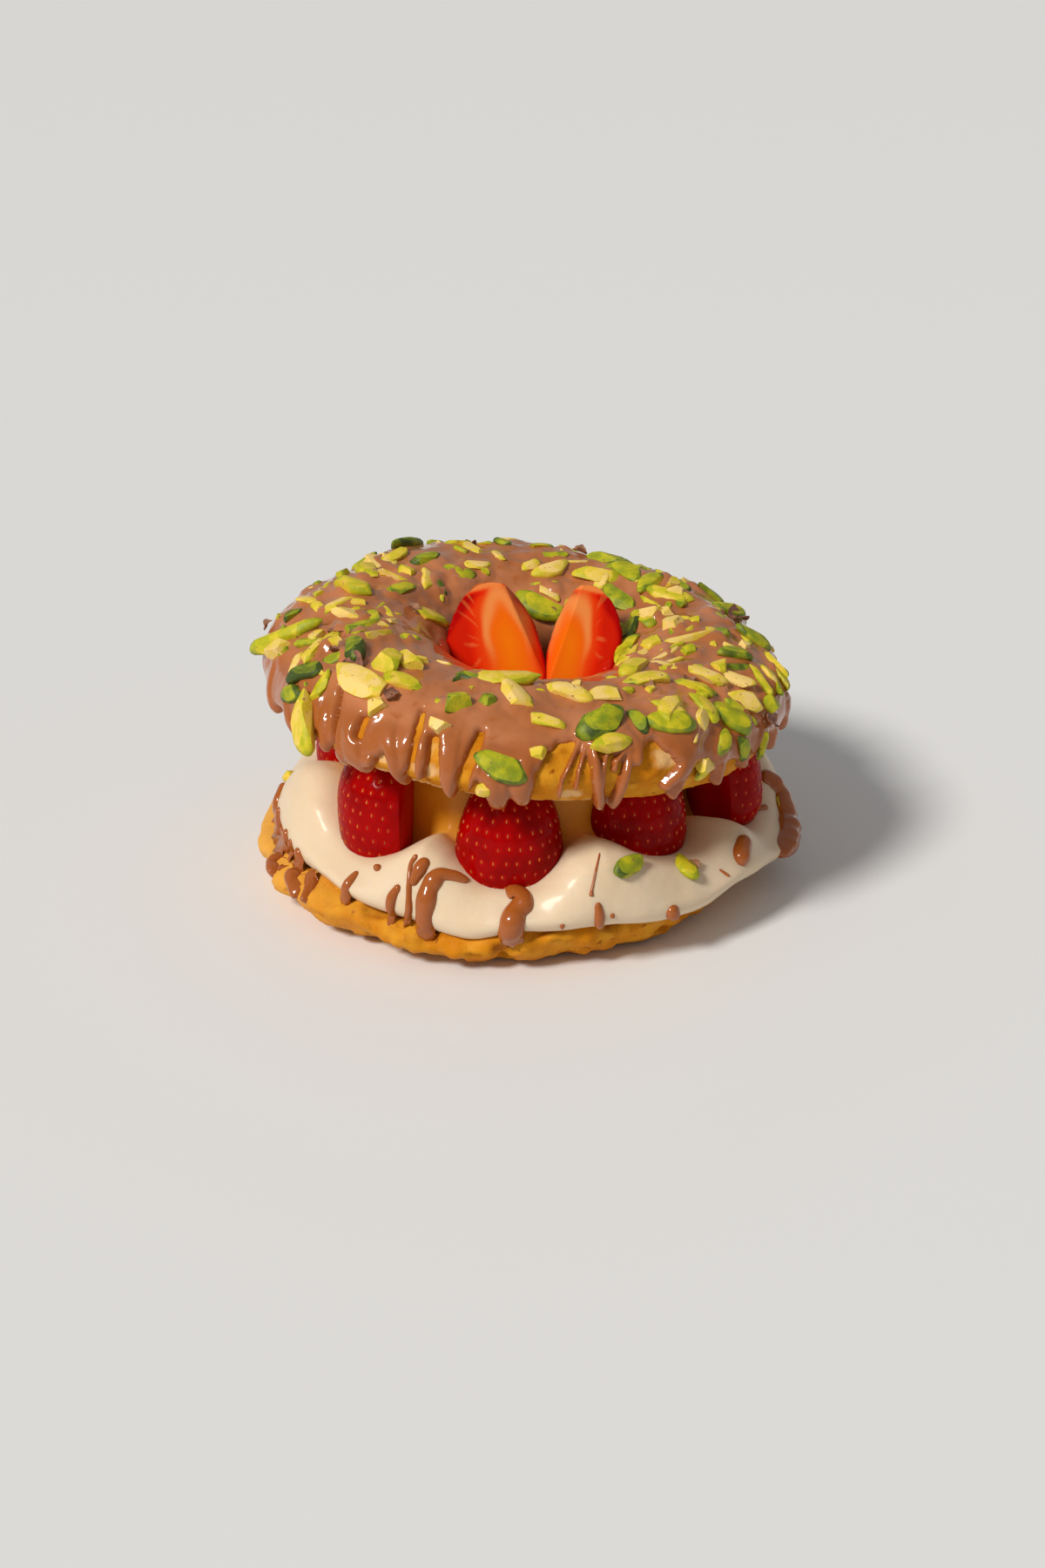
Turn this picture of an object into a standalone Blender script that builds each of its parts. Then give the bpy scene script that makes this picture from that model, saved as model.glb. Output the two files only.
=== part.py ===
"""Paris-brest with strawberries, milk chocolate and pistachios.

A ring of choux pastry is cut in two. Its base lies flat and carries a thick ring of pastry cream,
strawberry halves stand round in the cream, and the lid lies on them, a little lower at the right.
Milk chocolate coats the lid and runs down it in drips, broken pistachios lie in the chocolate,
and two wedges of strawberry are jammed in the lid's hole.

Bearings are in degrees round the ring, from the front (-Y), positive towards the right (+X).
A climb says how far a place on the lid is from its outer cut edge, 0, over the crown, about 0.5,
to the edge of its hole, 1.
"""
import math
import random

import bmesh
import bpy
from mathutils import Matrix, Vector, noise

MM = 0.001
GAP = 0.35 * MM                     # air between pieces that touch

# The choux base: a low, craggy ring that lies flat.
BASE_RADIUS = 70.5 * MM
BASE_HEIGHT = 14.5 * MM
BASE_SHIFT = -5.5 * MM              # its outline lies a little to the left
BASE_HOLE = 21.0 * MM
BASE_SHOULDER = 10.0 * MM           # the top falls towards the rim over this width
BASE_RIM = (                        # height of the rim: bearing and millimetres
    (-180, 12.0), (-150, 10.5), (-120, 12.5), (-90, 12.0), (-60, 11.5), (-41, 12.9), (-27, 10.0),
    (-13, 8.2), (1, 12.4), (16, 13.4), (31, 11.4), (40, 11.0), (52, 13.4), (75, 11.5),
    (105, 12.5), (140, 10.5),
)

# The ring of pastry cream.
CREAM_RADIUS = 72.4 * MM
CREAM_SHIFT = 3.0 * MM              # its outline bulges a little to the right
CREAM_CROWN = (                     # height of the outer rope between berries: bearing and mm
    (-180, 36.0), (-72, 36.0), (-26, 32.6), (18, 33.0), (60, 29.0), (102, 33.0), (140, 36.0),
)
CREAM_WALL = 44.0 * MM              # radius of the inner wall, which reaches up to the lid
CREAM_HOLE = 20.0 * MM
BERRY_DENT_SPREAD = 15.5            # degrees to each side that a berry dents the rope
SAG_BEARING = 86.0                  # where the cream sags over the edge of the base
SAG_DEPTH = 5.5 * MM

# The choux lid, in its own frame: the cut plane is z = 0.
LID_RADIUS = 72.0 * MM
LID_CREST = 47.5 * MM               # radius of the crown's highest line
LID_CROWN = 24.5 * MM               # mean height of the crown over the cut
LID_CROWN_RISE = 2.5 * MM           # it is puffed up this much more at one bearing
LID_CROWN_BEARING = -150.0
LID_SLUMP_BEARING = 128.0           # and has slumped at another, where it is narrower too
LID_SLUMP = 3.0 * MM
LID_WAIST = 8.0 * MM                # height of the widest level
LID_HOLE = 24.5 * MM
LID_HOLE_SHIFT = 2.0 * MM           # the hole lies a little to the right
LID_LOW_SWEEP = 25.0                # degrees that the side curls in under the widest level
LID_HOLE_SWEEP = 20.0
LID_EDGE_RISE = (                   # how far the outer edge curls up: bearing and millimetres
    (-180, 1.5), (-125, 3.0), (-90, 4.0), (-65, 5.0), (-45, 5.6), (-28, 4.8), (-15, 3.8), (-3, 3.0),
    (15, 2.3), (32, 1.3), (48, 0.2), (80, 0.0), (130, 1.2),
)
LID_SEAT = Vector((0.5, 0.0, 49.0)) * MM
LID_TILT = 2.6                      # degrees, down at the right

# The chocolate coat, its drips and the pistachios on it.
COAT_THICKNESS = 1.6 * MM
COAT_INNER_EDGE = 0.97              # climb at which the coat ends in the hole

# The strawberry halves in the cream: bearing, ring radius, width, lowest point, turn of the
# cut face away from the ring's middle, how much the berry narrows towards its tip, and how
# deep it dents the rope of cream in front of it.
BERRIES = (
    (-100, 48, 25, 17.0, 10, 0.30, 9.0),
    (-45.5, 49, 32, 15.8, -53, 0.15, 10.5),
    (-4, 50, 30, 15.4, 0, 0.50, 11.5),
    (41, 46, 31, 15.6, 8, 0.45, 7.5),
    (79, 56, 26, 15.6, 40, 0.30, 12.5),
    (126, 49, 28, 16.5, -12, 0.45, 12.0),
    (170, 50, 27, 16.0, 15, 0.40, 14.0),
    (214, 50, 28, 16.5, -8, 0.35, 12.0),
)

BERRY_FULLNESS = 3.2                # the halves are blunter than eggs

# The two wedges in the lid's hole: calyx end and tip (in the lid's frame, mm), width, thickness
# of the wedge, the side (-1 left, 1 right) on which its second cut faces the other wedge, how far
# from the axis that cut runs at the calyx and at the tip (mm), and how much the wedge narrows
# towards its tip and towards its calyx.
WEDGES = {
    "wedge_left": (Vector((-13.0, 5.5, 33.6)), Vector((-2.2, -8.8, -1.0)), 31.5, 13.0,
                   1, 5.0, 11.8, 0.44, 0.8),
    "wedge_right": (Vector((16.6, 5.8, 34.0)), Vector((11.2, -8.6, 0.0)), 25.6, 11.5,
                    -1, 1.6, 7.6, 0.34, 0.3),
}

WEDGE_FACET = 0.95                  # how squarely the second cut faces the twin

# Where the sheet of chocolate ends on the lid's side: bearing and climb, all the way round.
COAT_EDGE = (
    (-180, 0.16), (-150, 0.10), (-120, 0.18), (-95, 0.10), (-72, 0.08), (-58, 0.12), (-47, 0.12),
    (-36, 0.07), (-29, 0.15), (-20, 0.14), (-13, 0.10), (-5, 0.02), (1, 0.10), (7, 0.28),
    (15, 0.26), (22, 0.23), (28, 0.26), (34, 0.08), (42, 0.09), (52, 0.06), (66, 0.08),
    (85, 0.12), (110, 0.10), (135, 0.17), (158, 0.10),
)

# The drips in front: bearing, climb of the tip, width in mm.
FRONT_DRIPS = (
    (-60, 0.04, 3.6), (-40.6, 0.05, 4.6), (-26, 0.0, 3.4), (-15.4, 0.03, 5.0), (7.4, 0.06, 1.8),
    (10.6, 0.10, 1.6), (15.6, 0.0, 3.6), (19.6, 0.0, 3.4), (24, 0.18, 4.0), (30.5, 0.06, 3.2),
)
BACK_DRIPS = 11                     # the drips of the side that faces away, by a rule

# The pistachios by the way they broke. Each place is a bearing, a climb, a heading (degrees from
# straight up the crown, positive to the right) and the piece's length in mm.
NUTS = {
    "kernel": (
        (-61, 0.29, 50, 11), (17, 0.33, 60, 13), (33, 0.30, -80, 12.5), (-5, 0.20, -68, 10.5),
        (52, 0.25, -30, 12), (92, 0.34, 10, 12), (131, 0.53, -20, 11), (143, 0.53, -86, 11),
        (134, 0.64, -80, 12), (153, 0.46, -77, 12), (-56, 0.43, -65, 8.5), (-98, 0.50, 34, 11),
        (26, 0.33, -30, 8), (126, 0.47, 60, 8.5), (-138, 0.54, -80, 10), (49, 0.40, -20, 12),
        (-172, 0.44, 80, 8), (108, 0.71, -45, 10), (-61, 0.21, 60, 9.5),
    ),
    "slice": (
        (-54, 0.13, -20, 14), (-44, 0.35, 90, 12), (-8, 0.50, 65, 14), (-4, 0.45, -30, 11),
        (12, 0.47, 75, 10.5), (4, 0.35, -60, 9.5), (18, 0.25, 70, 8.5), (-114, 0.56, 70, 10),
        (-128, 0.46, 70, 11), (-110, 0.50, 15, 12), (-102, 0.71, -40, 10.5), (46, 0.32, -5, 9.5),
        (57, 0.42, 0, 11), (38, 0.48, -75, 9), (43, 0.57, 72, 9), (62, 0.67, -70, 9.5),
        (120, 0.52, 50, 10.5), (-157, 0.62, -80, 7.5), (-34, 0.40, 80, 9), (85, 0.25, 60, 9),
        (70, 0.28, 30, 11.5), (-156, 0.45, 80, 9),
    ),
    "sliver": (
        (-82, 0.30, 35, 22), (-72, 0.44, 45, 13), (80, 0.52, -40, 15), (80, 0.43, 35, 10),
        (67, 0.39, -45, 12), (172, 0.50, 80, 11), (170, 0.61, 45, 11), (-18, 0.51, 75, 10.5),
        (76, 0.24, 60, 11), (108, 0.33, -30, 10),
    ),
    "chunk": (
        (-78, 0.26, 60, 7), (-43, 0.45, -25, 7.5), (-18, 0.37, 60, 6.5), (103, 0.44, 70, 7),
        (-93, 0.35, 35, 6.5),
    ),
}
NUT_FORMS = {"kernel": (0.60, 0.38), "slice": (0.50, 0.32), "sliver": (0.28, 0.25),
             "chunk": (0.80, 0.62)}  # width and height as shares of the length
SLENDER_NUT = 22.0                  # width times height in mm2 of a piece with fewer faces
BACK_NUTS = 9                       # kernels low on the side that faces away, by a rule
NUT_SEED = 11

# Chocolate that fell on the cream: bearing and climb up the cream's side of each point of the
# stroke (0 at its lower lip, 1 on the crown), and the stroke's width in mm.
CREAM_STROKES = (
    (((-13, 0.86), (-19, 0.80), (-22, 0.52), (-22, 0.20), (-21.5, 0.10)), 5.6),
    (((-3, 0.62), (-2.5, 0.36), (-2.5, 0.24), (-1.8, 0.12)), 6.4),
    (((-27, 0.95), (-27, 0.72), (-29, 0.50), (-28.5, 0.28)), 3.4),
    (((-34, 0.62), (-36, 0.42), (-34, 0.14)), 2.8),
    (((-45, 0.50), (-46.5, 0.34), (-47, 0.16)), 3.6),
    (((-74, 0.24), (-68, 0.18), (-60, 0.14)), 6.0),
    (((-92, 0.74), (-90, 0.42), (-84, 0.26), (-78, 0.18)), 4.2),
    (((16.5, 0.34), (16.5, 0.26), (17, 0.16)), 3.2),
    (((57, 0.56), (59, 0.50)), 5.0),
    (((80, 1.05), (88, 0.90), (92, 0.60), (94, 0.34), (94, 0.16)), 4.6),
    (((140, 0.90), (143, 0.55), (144, 0.20)), 4.4),
    (((-150, 0.85), (-153, 0.50), (-152, 0.14)), 4.0),
)
STROKE_STEPS = 1.4                  # sections of a stroke for each of its points
CREAM_NUTS = (                      # bearing, climb, heading and length in mm
    (24.5, 0.62, 80, 9), (41, 0.46, 15, 8), (86, 0.75, 60, 6.5), (-98, 0.62, 10, 5),
    (-132, 0.60, 40, 9), (160, 0.50, 70, 8),
)

TURNS = 32                          # sections in each ring
LID_STEPS = 10                      # points over the lid's crown in each section
GOLD = (0.62, 0.33, 0.09)
IVORY = (0.84, 0.76, 0.58)
COCOA = (0.30, 0.12, 0.06)
BERRY_RED = (0.50, 0.01, 0.01)
BERRY_FLESH = (0.85, 0.16, 0.05)


def clear_scene():
    for old in list(bpy.data.objects):
        bpy.data.objects.remove(old)


def new_collection(name):
    collection = bpy.data.collections.new(name)
    bpy.context.scene.collection.children.link(collection)
    return collection


def new_material(name, colour, roughness):
    material = bpy.data.materials.new(name)
    material.use_nodes = True
    shader = material.node_tree.nodes["Principled BSDF"]
    shader.inputs["Base Color"].default_value = (*colour, 1.0)
    shader.inputs["Roughness"].default_value = roughness
    shader.inputs["Metallic"].default_value = 0.0
    return material


def new_object(name, shape, collection, material=None, parent=None):
    """Make an object of a bmesh, which is freed."""
    mesh = bpy.data.meshes.new(name)
    bmesh.ops.recalc_face_normals(shape, faces=shape.faces)
    shape.to_mesh(mesh)
    shape.free()
    mesh.shade_smooth()
    if material:
        mesh.materials.append(material)
    made = bpy.data.objects.new(name, mesh)
    made.parent = parent
    collection.objects.link(made)
    return made


def on_ring(radius, bearing, height=0.0):
    turn = math.radians(bearing)
    return Vector((radius * math.sin(turn), -radius * math.cos(turn), height))


def bearings(count):
    return [360.0 * step / count - 180.0 for step in range(count)]


def read_curve(points, bearing):
    """Read a value at a bearing from (bearing, value) points that go all the way round."""
    bearing = (bearing - points[0][0]) % 360.0 + points[0][0]
    ring = list(points) + [(points[0][0] + 360.0, points[0][1])]
    for (left, low), (right, high) in zip(ring, ring[1:]):
        if left <= bearing <= right:
            share = (bearing - left) / (right - left)
            ease = share * share * (3.0 - 2.0 * share)
            return low + (high - low) * ease
    return points[0][1]


def angle_between(first, second):
    return abs((first - second + 180.0) % 360.0 - 180.0)


def swelling(bearing, centre, spread, steepness=2.0):
    """A smooth hump of height 1 round the ring at the centre bearing."""
    return math.exp(-(angle_between(bearing, centre) / spread) ** steepness)


def cut_corners(points):
    """Round a closed outline once: each corner gives way to two points on its sides."""
    rounded = []
    for point, following in zip(points, points[1:] + points[:1]):
        rounded.append(point.lerp(following, 0.25))
        rounded.append(point.lerp(following, 0.75))
    return rounded


def two_triangles(shape, corners):
    """Split a four-cornered face always the same way, so that surfaces that lie close agree."""
    first, second, third, fourth = corners
    shape.faces.new((first, second, third))
    shape.faces.new((first, third, fourth))


def loft_ring(name, section, collection, material, parent=None):
    """Loft a closed ring through the closed outlines that section(bearing) gives."""
    shape = bmesh.new()
    rows = [[shape.verts.new(point) for point in section(bearing)] for bearing in bearings(TURNS)]
    for row, following in zip(rows, rows[1:] + rows[:1]):
        for spot in range(len(row)):
            after = (spot + 1) % len(row)
            corners = row[spot], row[after], following[after], following[spot]
            two_triangles(shape, corners)
    return new_object(name, shape, collection, material, parent)


def outline_at(bearing, points):
    """Turn (radius, height) points into an outline that stands at a bearing."""
    return [on_ring(radius, bearing, height) for radius, height in points]


def crag(point, size, depth):
    """Uneven choux: a smooth random height at a point."""
    return depth * noise.noise(point / size)


# ---- choux base -------------------------------------------------------------------------------

def base_rim(bearing):
    """Radius and height of the base's rim."""
    outer = BASE_RADIUS + BASE_SHIFT * math.sin(math.radians(bearing))
    outer += crag(on_ring(outer, bearing), 16 * MM, 1.6 * MM)
    return outer, read_curve(BASE_RIM, bearing) * MM


def base_top(bearing, radius):
    """Height of the base's upper side, flat within its shoulder and falling to its rim."""
    rim, height = base_rim(bearing)
    share = min(1.0, max(0.0, (radius - rim + BASE_SHOULDER) / BASE_SHOULDER))
    return BASE_HEIGHT + (height - BASE_HEIGHT) * share


def base_section(bearing):
    rim, height = base_rim(bearing)
    fold = crag(on_ring(rim, bearing, 40 * MM), 9 * MM, 1.8 * MM)
    points = outline_at(bearing, (
        (rim - 11 * MM + 1.5 * fold, 0.0),
        (rim - 4.5 * MM + fold, 3.6 * MM),
        (rim - 0.5 * MM + fold, 0.62 * height),
        (rim, height),
        (rim - BASE_SHOULDER, BASE_HEIGHT),
        (BASE_HOLE + 5 * MM, BASE_HEIGHT),
        (BASE_HOLE - 1.0 * MM, 0.6 * BASE_HEIGHT),
        (BASE_HOLE + 4 * MM, 0.0),
    ))
    return cut_corners(points)


# ---- pastry cream -----------------------------------------------------------------------------

def lid_underside(point):
    """Height of the lid's cut plane over a place."""
    return LID_SEAT.z - math.tan(math.radians(LID_TILT)) * (point.x - LID_SEAT.x)


def cream_crown(bearing):
    """Height of the rope of cream, dented where the berries stand."""
    dent = max(berry[-1] * MM * swelling(bearing, berry[0], BERRY_DENT_SPREAD, 3.0)
               for berry in BERRIES)
    return read_curve(CREAM_CROWN, bearing) * MM - dent + crag(on_ring(50 * MM, bearing), 18 * MM, 1.0 * MM)


def cream_outline(bearing):
    """The cream's outline before its corners are rounded, from the underside out and up."""
    outer = CREAM_RADIUS + CREAM_SHIFT * math.sin(math.radians(bearing))
    outer += crag(on_ring(outer, bearing), 22 * MM, 1.6 * MM)
    rim, _ = base_rim(bearing)
    seat = BASE_HEIGHT + GAP
    heel = min(rim, outer - 3 * MM)
    heel_height = base_top(bearing, heel) + GAP
    lip = base_top(bearing, outer - 1 * MM) + 2.0 * GAP
    lip -= SAG_DEPTH * swelling(bearing, SAG_BEARING, 17.0)
    crown = cream_crown(bearing)
    top = lid_underside(on_ring(CREAM_WALL, bearing)) - GAP
    inner_top = lid_underside(on_ring(CREAM_HOLE, bearing)) - GAP
    return outline_at(bearing, (
        (rim - BASE_SHOULDER, seat),
        (heel, heel_height),
        (outer - 1.0 * MM, lip),
        (outer + 1.2 * MM, lip + 4.0 * MM),
        (outer - 0.5 * MM, 0.45 * lip + 0.55 * crown),
        (outer - 6.0 * MM, crown + 1.2 * MM),
        (outer - 17 * MM, crown + 0.4 * MM),
        (CREAM_WALL + 2.5 * MM, crown - 3 * MM),
        (CREAM_WALL, top),
        (CREAM_HOLE + 4 * MM, inner_top),
        (CREAM_HOLE, 0.5 * (inner_top + seat)),
        (CREAM_HOLE + 3.5 * MM, seat),
    ))


def cream_section(bearing):
    return cut_corners(cream_outline(bearing))


def cream_surface(bearing, climb, lift=0.0):
    """A point on the cream's outer side, from its lower lip, climb 0, to its crown, 1."""
    def place(where, height):
        side = cream_outline(where)[2:7]
        for _ in range(3):
            side = side[:1] + [
                first.lerp(second, share)
                for first, second in zip(side, side[1:]) for share in (0.25, 0.75)
            ] + side[-1:]
        spot = max(0.0, min(0.999, 0.1 + 0.8 * height)) * (len(side) - 1)
        return side[int(spot)].lerp(side[int(spot) + 1], spot % 1.0)
    here = place(bearing, climb)
    up = place(bearing, climb + 0.04) - place(bearing, climb - 0.04)
    along = place(bearing + 2.0, climb) - place(bearing - 2.0, climb)
    return here + lift * along.cross(up).normalized(), up.normalized(), along.normalized()


# ---- choux lid --------------------------------------------------------------------------------

def lid_crust(bearing, climb):
    """A point on the lid's crust, in the lid's frame."""
    sweep = math.radians(-LID_LOW_SWEEP + climb * (180.0 + LID_LOW_SWEEP + LID_HOLE_SWEEP))
    across, rise = math.cos(sweep), math.sin(sweep)
    hole = LID_HOLE + LID_HOLE_SHIFT * math.sin(math.radians(bearing))
    puff = math.cos(math.radians(bearing - LID_CROWN_BEARING))
    slump = LID_SLUMP * swelling(bearing, LID_SLUMP_BEARING, 42.0)
    crown = LID_CROWN + LID_CROWN_RISE * puff - slump
    width = LID_RADIUS - slump - LID_CREST if across > 0.0 else LID_CREST - hole
    low = LID_WAIST / math.sin(math.radians(LID_LOW_SWEEP))
    height = crown - LID_WAIST if rise > 0.0 else low
    point = on_ring(LID_CREST + width * across, bearing, LID_WAIST + height * rise)
    if across > 0.0:
        point.z += read_curve(LID_EDGE_RISE, bearing) * MM * max(0.0, 1.0 - point.z / LID_WAIST)
    swell = crag(point, 26 * MM, 2.0 * MM) + crag(point, 11 * MM, 0.8 * MM)
    fade = min(1.0, max(0.0, point.z / LID_WAIST))
    return point + fade * swell * (point.normalized() + Vector((0.0, 0.0, 0.5)))


def lid_surface(bearing, climb, lift=0.0):
    """A point over the lid's crust, the direction out of it, up the crown and round the ring."""
    step = 0.012
    up = lid_crust(bearing, climb + step) - lid_crust(bearing, climb - step)
    along = lid_crust(bearing + 1.0, climb) - lid_crust(bearing - 1.0, climb)
    out = along.cross(up).normalized()
    return lid_crust(bearing, climb) + lift * out, out, up.normalized(), along.normalized()


def lid_section(bearing):
    crust = [lid_crust(bearing, step / LID_STEPS) for step in range(LID_STEPS + 1)]
    cut = [crust[-1].lerp(crust[0], share) for share in (0.5, 0.87)]
    return crust + [Vector((point.x, point.y, 0.0)) for point in cut]


def room_section(bearing):
    """The lid grown by the gap, which the chocolate is cut back to."""
    crust = [lid_surface(bearing, step / LID_STEPS, GAP)[0] for step in range(LID_STEPS + 1)]
    cut = [crust[-1].lerp(crust[0], share) for share in (0.5, 0.87)]
    return crust + [Vector((point.x, point.y, -GAP)) for point in cut]


# ---- chocolate and pistachios -----------------------------------------------------------------

def coat_shell(collection, material, parent):
    """The sheet of chocolate: an open surface on the crust, which Solidify thickens.

    Its rows lie on the lid's own rows, and crowd together where the sheet ends higher up."""
    shape = bmesh.new()
    rows = []
    for bearing in bearings(TURNS):
        low = read_curve(COAT_EDGE, bearing)
        climbs = [max(step / LID_STEPS, low + 0.006 * step) for step in range(LID_STEPS)]
        climbs.append(COAT_INNER_EDGE)
        rows.append([shape.verts.new(lid_crust(bearing, climb)) for climb in climbs])
    for row, following in zip(rows, rows[1:] + rows[:1]):
        for spot in range(LID_STEPS):
            corners = row[spot], row[spot + 1], following[spot + 1], following[spot]
            two_triangles(shape, corners)
    shell = new_object("chocolate_coat", shape, collection, material, parent)
    solid = shell.modifiers.new("thickness", "SOLIDIFY")
    solid.thickness = GAP + COAT_THICKNESS
    solid.offset = 1.0
    return shell


def drip(name, bearing, tip, width, collection, material, parent):
    """One run of chocolate down the crust, flat under and domed over, with a swollen tip."""
    start = read_curve(COAT_EDGE, bearing) + 0.05
    rows = 5
    profile = ((-1.0, 0.0), (-0.72, 0.72), (0.0, 1.0), (0.72, 0.72), (1.0, 0.0))
    reach = width * MM / 2.0
    depth = GAP + 0.9 * MM + 0.16 * width * MM
    shape = bmesh.new()
    sections = []
    for row in range(rows):
        share = row / (rows - 1)
        climb = start + (tip - start) * share
        swell = 0.80 + 0.20 * share if row < rows - 1 else 0.42
        section = []
        for side, height in profile:
            turn = math.degrees(side * reach * swell / LID_RADIUS)
            section.append(lid_surface(bearing + turn, climb, height * depth * swell)[0])
        sections.append([shape.verts.new(point) for point in section])
    for upper, lower in zip(sections, sections[1:]):
        for spot in range(len(profile)):
            after = (spot + 1) % len(profile)
            shape.faces.new((upper[spot], upper[after], lower[after], lower[spot]))
    shape.faces.new(sections[0])
    shape.faces.new(sections[-1])
    return new_object(name, shape, collection, material, parent)


def frame_at(point, up, along, heading):
    """A matrix at a point: X along the heading, Z out of the surface."""
    out = along.cross(up).normalized()
    turn = math.radians(heading)
    length = (math.cos(turn) * up + math.sin(turn) * along).normalized()
    across = out.cross(length).normalized()
    turned = Matrix((length, across, out)).transposed()
    return Matrix.Translation(point) @ turned.to_4x4()


def nut(name, place, size, draw, collection, material, parent=None):
    """A piece of pistachio: an uneven nugget of few faces."""
    shape = bmesh.new()
    if size[1] * size[2] > SLENDER_NUT:
        bmesh.ops.create_icosphere(shape, subdivisions=1, radius=0.5)
    else:
        bmesh.ops.create_uvsphere(shape, u_segments=4, v_segments=3, radius=0.55)
    for vert in shape.verts:
        vert.co *= draw.uniform(0.92, 1.08)
    bmesh.ops.scale(shape, vec=Vector(size) * MM, verts=shape.verts)
    bmesh.ops.transform(shape, matrix=place, verts=shape.verts)
    return new_object(name, shape, collection, material, parent)


def nut_size(kind, length):
    width, height = NUT_FORMS[kind]
    return length, length * width, length * height


def lid_nuts():
    """All pistachios on the lid: bearing, climb, heading and size."""
    nuts = [(*place[:3], nut_size(kind, place[3])) for kind in NUTS for place in NUTS[kind]]
    draw = random.Random(NUT_SEED)
    for spot in range(BACK_NUTS):
        bearing = 112.0 + (spot + draw.uniform(-0.3, 0.3)) * 136.0 / BACK_NUTS
        size = nut_size("kernel", draw.uniform(8.0, 12.0))
        nuts.append((bearing, draw.uniform(0.18, 0.36), draw.uniform(-90, 90), size))
    return nuts


def fuse(target, pieces):
    """Join all objects of a collection to the target and leave only the target."""
    union = target.modifiers.new("fused", "BOOLEAN")
    union.operation = "UNION"
    union.operand_type = "COLLECTION"
    union.collection = pieces
    union.solver = "MANIFOLD"
    apply_modifiers(target)
    keep_main_body(target.data)
    for piece in list(pieces.objects):
        bpy.data.objects.remove(piece)
    bpy.data.collections.remove(pieces)


def cut_away(target, cutters):
    """Cut a collection's objects out of the target, and keep them as hidden wire frames."""
    for cutter in cutters.objects:
        cutter.hide_render = True
        cutter.display_type = "WIRE"
    cut = target.modifiers.new("cut", "BOOLEAN")
    cut.operation = "DIFFERENCE"
    cut.operand_type = "COLLECTION"
    cut.collection = cutters
    cut.solver = "MANIFOLD"
    apply_modifiers(target)
    keep_main_body(target.data)


def apply_modifiers(target):
    graph = bpy.context.evaluated_depsgraph_get()
    graph.update()
    mesh = bpy.data.meshes.new_from_object(target.evaluated_get(graph))
    target.modifiers.clear()
    target.data = mesh


def keep_main_body(mesh):
    """Fill the small hollows that fusing seals, and drop loose scraps."""
    shape = bmesh.new()
    shape.from_mesh(mesh)
    waiting = set(shape.verts)
    bodies = []
    while waiting:
        body, edge = set(), [waiting.pop()]
        while edge:
            vert = edge.pop()
            body.add(vert)
            linked = {link.other_vert(vert) for link in vert.link_edges} & waiting
            waiting -= linked
            edge.extend(linked)
        bodies.append(body)
    bodies.sort(key=len)
    for body in bodies[:-1]:
        bmesh.ops.delete(shape, geom=list(body), context="VERTS")
    shape.to_mesh(mesh)
    shape.free()


def build_coat(collection, material, seat):
    coat = coat_shell(collection, material, seat)
    drips = new_collection("drips")
    draw = random.Random(NUT_SEED + 1)
    runs = list(FRONT_DRIPS)
    for spot in range(BACK_DRIPS):
        bearing = 78.0 + (spot + draw.uniform(-0.25, 0.25)) * 200.0 / BACK_DRIPS
        runs.append((bearing, draw.uniform(0.0, 0.06), draw.uniform(3.4, 6.0)))
    for number, (bearing, tip, width) in enumerate(runs):
        if read_curve(COAT_EDGE, bearing) > tip + 0.03:
            drip(f"drip_{number}", bearing, tip, width, drips, material, seat)
    fuse(coat, drips)
    nuts = new_collection("lid_nuts")
    draw = random.Random(NUT_SEED + 2)
    for number, (bearing, climb, heading, size) in enumerate(lid_nuts()):
        covered = climb > read_curve(COAT_EDGE, bearing) + 0.02
        sunk = 0.10 * size[2] * MM if covered else 0.5 * size[2] * MM - COAT_THICKNESS
        lift = GAP + COAT_THICKNESS + sunk
        point, _, up, along = lid_surface(bearing, climb, lift)
        place = frame_at(point, up, along, heading)
        nut(f"nut_{number}", place, size, draw, nuts, material, seat)
    fuse(coat, nuts)
    room = new_collection("lid_room")
    loft_ring("lid_room", room_section, room, material, seat)
    cut_away(coat, room)


def stroke(name, path, width, collection, material):
    """Chocolate on the cream: a flattened string of round sections, half sunk in."""
    sides = 5
    reach = width * MM / 2.0
    steps = round(STROKE_STEPS * (len(path) - 1))
    shape = bmesh.new()
    rows = []
    for step in range(steps + 1):
        spot = min(step / steps, 0.999) * (len(path) - 1)
        first, second = path[int(spot)], path[int(spot) + 1]
        share = spot % 1.0
        bearing = first[0] + (second[0] - first[0]) * share
        climb = first[1] + (second[1] - first[1]) * share
        point, up, along = cream_surface(bearing, climb)
        ahead = cream_surface(second[0], second[1])[0] - cream_surface(*first)[0]
        ahead.normalize()
        out = along.cross(up).normalized()
        across = out.cross(ahead).normalized()
        swell = reach * (0.45 if step in (0, steps) else 0.85 + 0.15 * share)
        rows.append([
            shape.verts.new(point + swell * math.cos(turn) * across
                            + 0.45 * swell * math.sin(turn) * out)
            for turn in [2.0 * math.pi * side / sides for side in range(sides)]
        ])
    for row, following in zip(rows, rows[1:]):
        for spot in range(sides):
            after = (spot + 1) % sides
            shape.faces.new((row[spot], row[after], following[after], following[spot]))
    shape.faces.new(rows[0])
    shape.faces.new(rows[-1])
    return new_object(name, shape, collection, material)


# ---- strawberries -----------------------------------------------------------------------------

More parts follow.
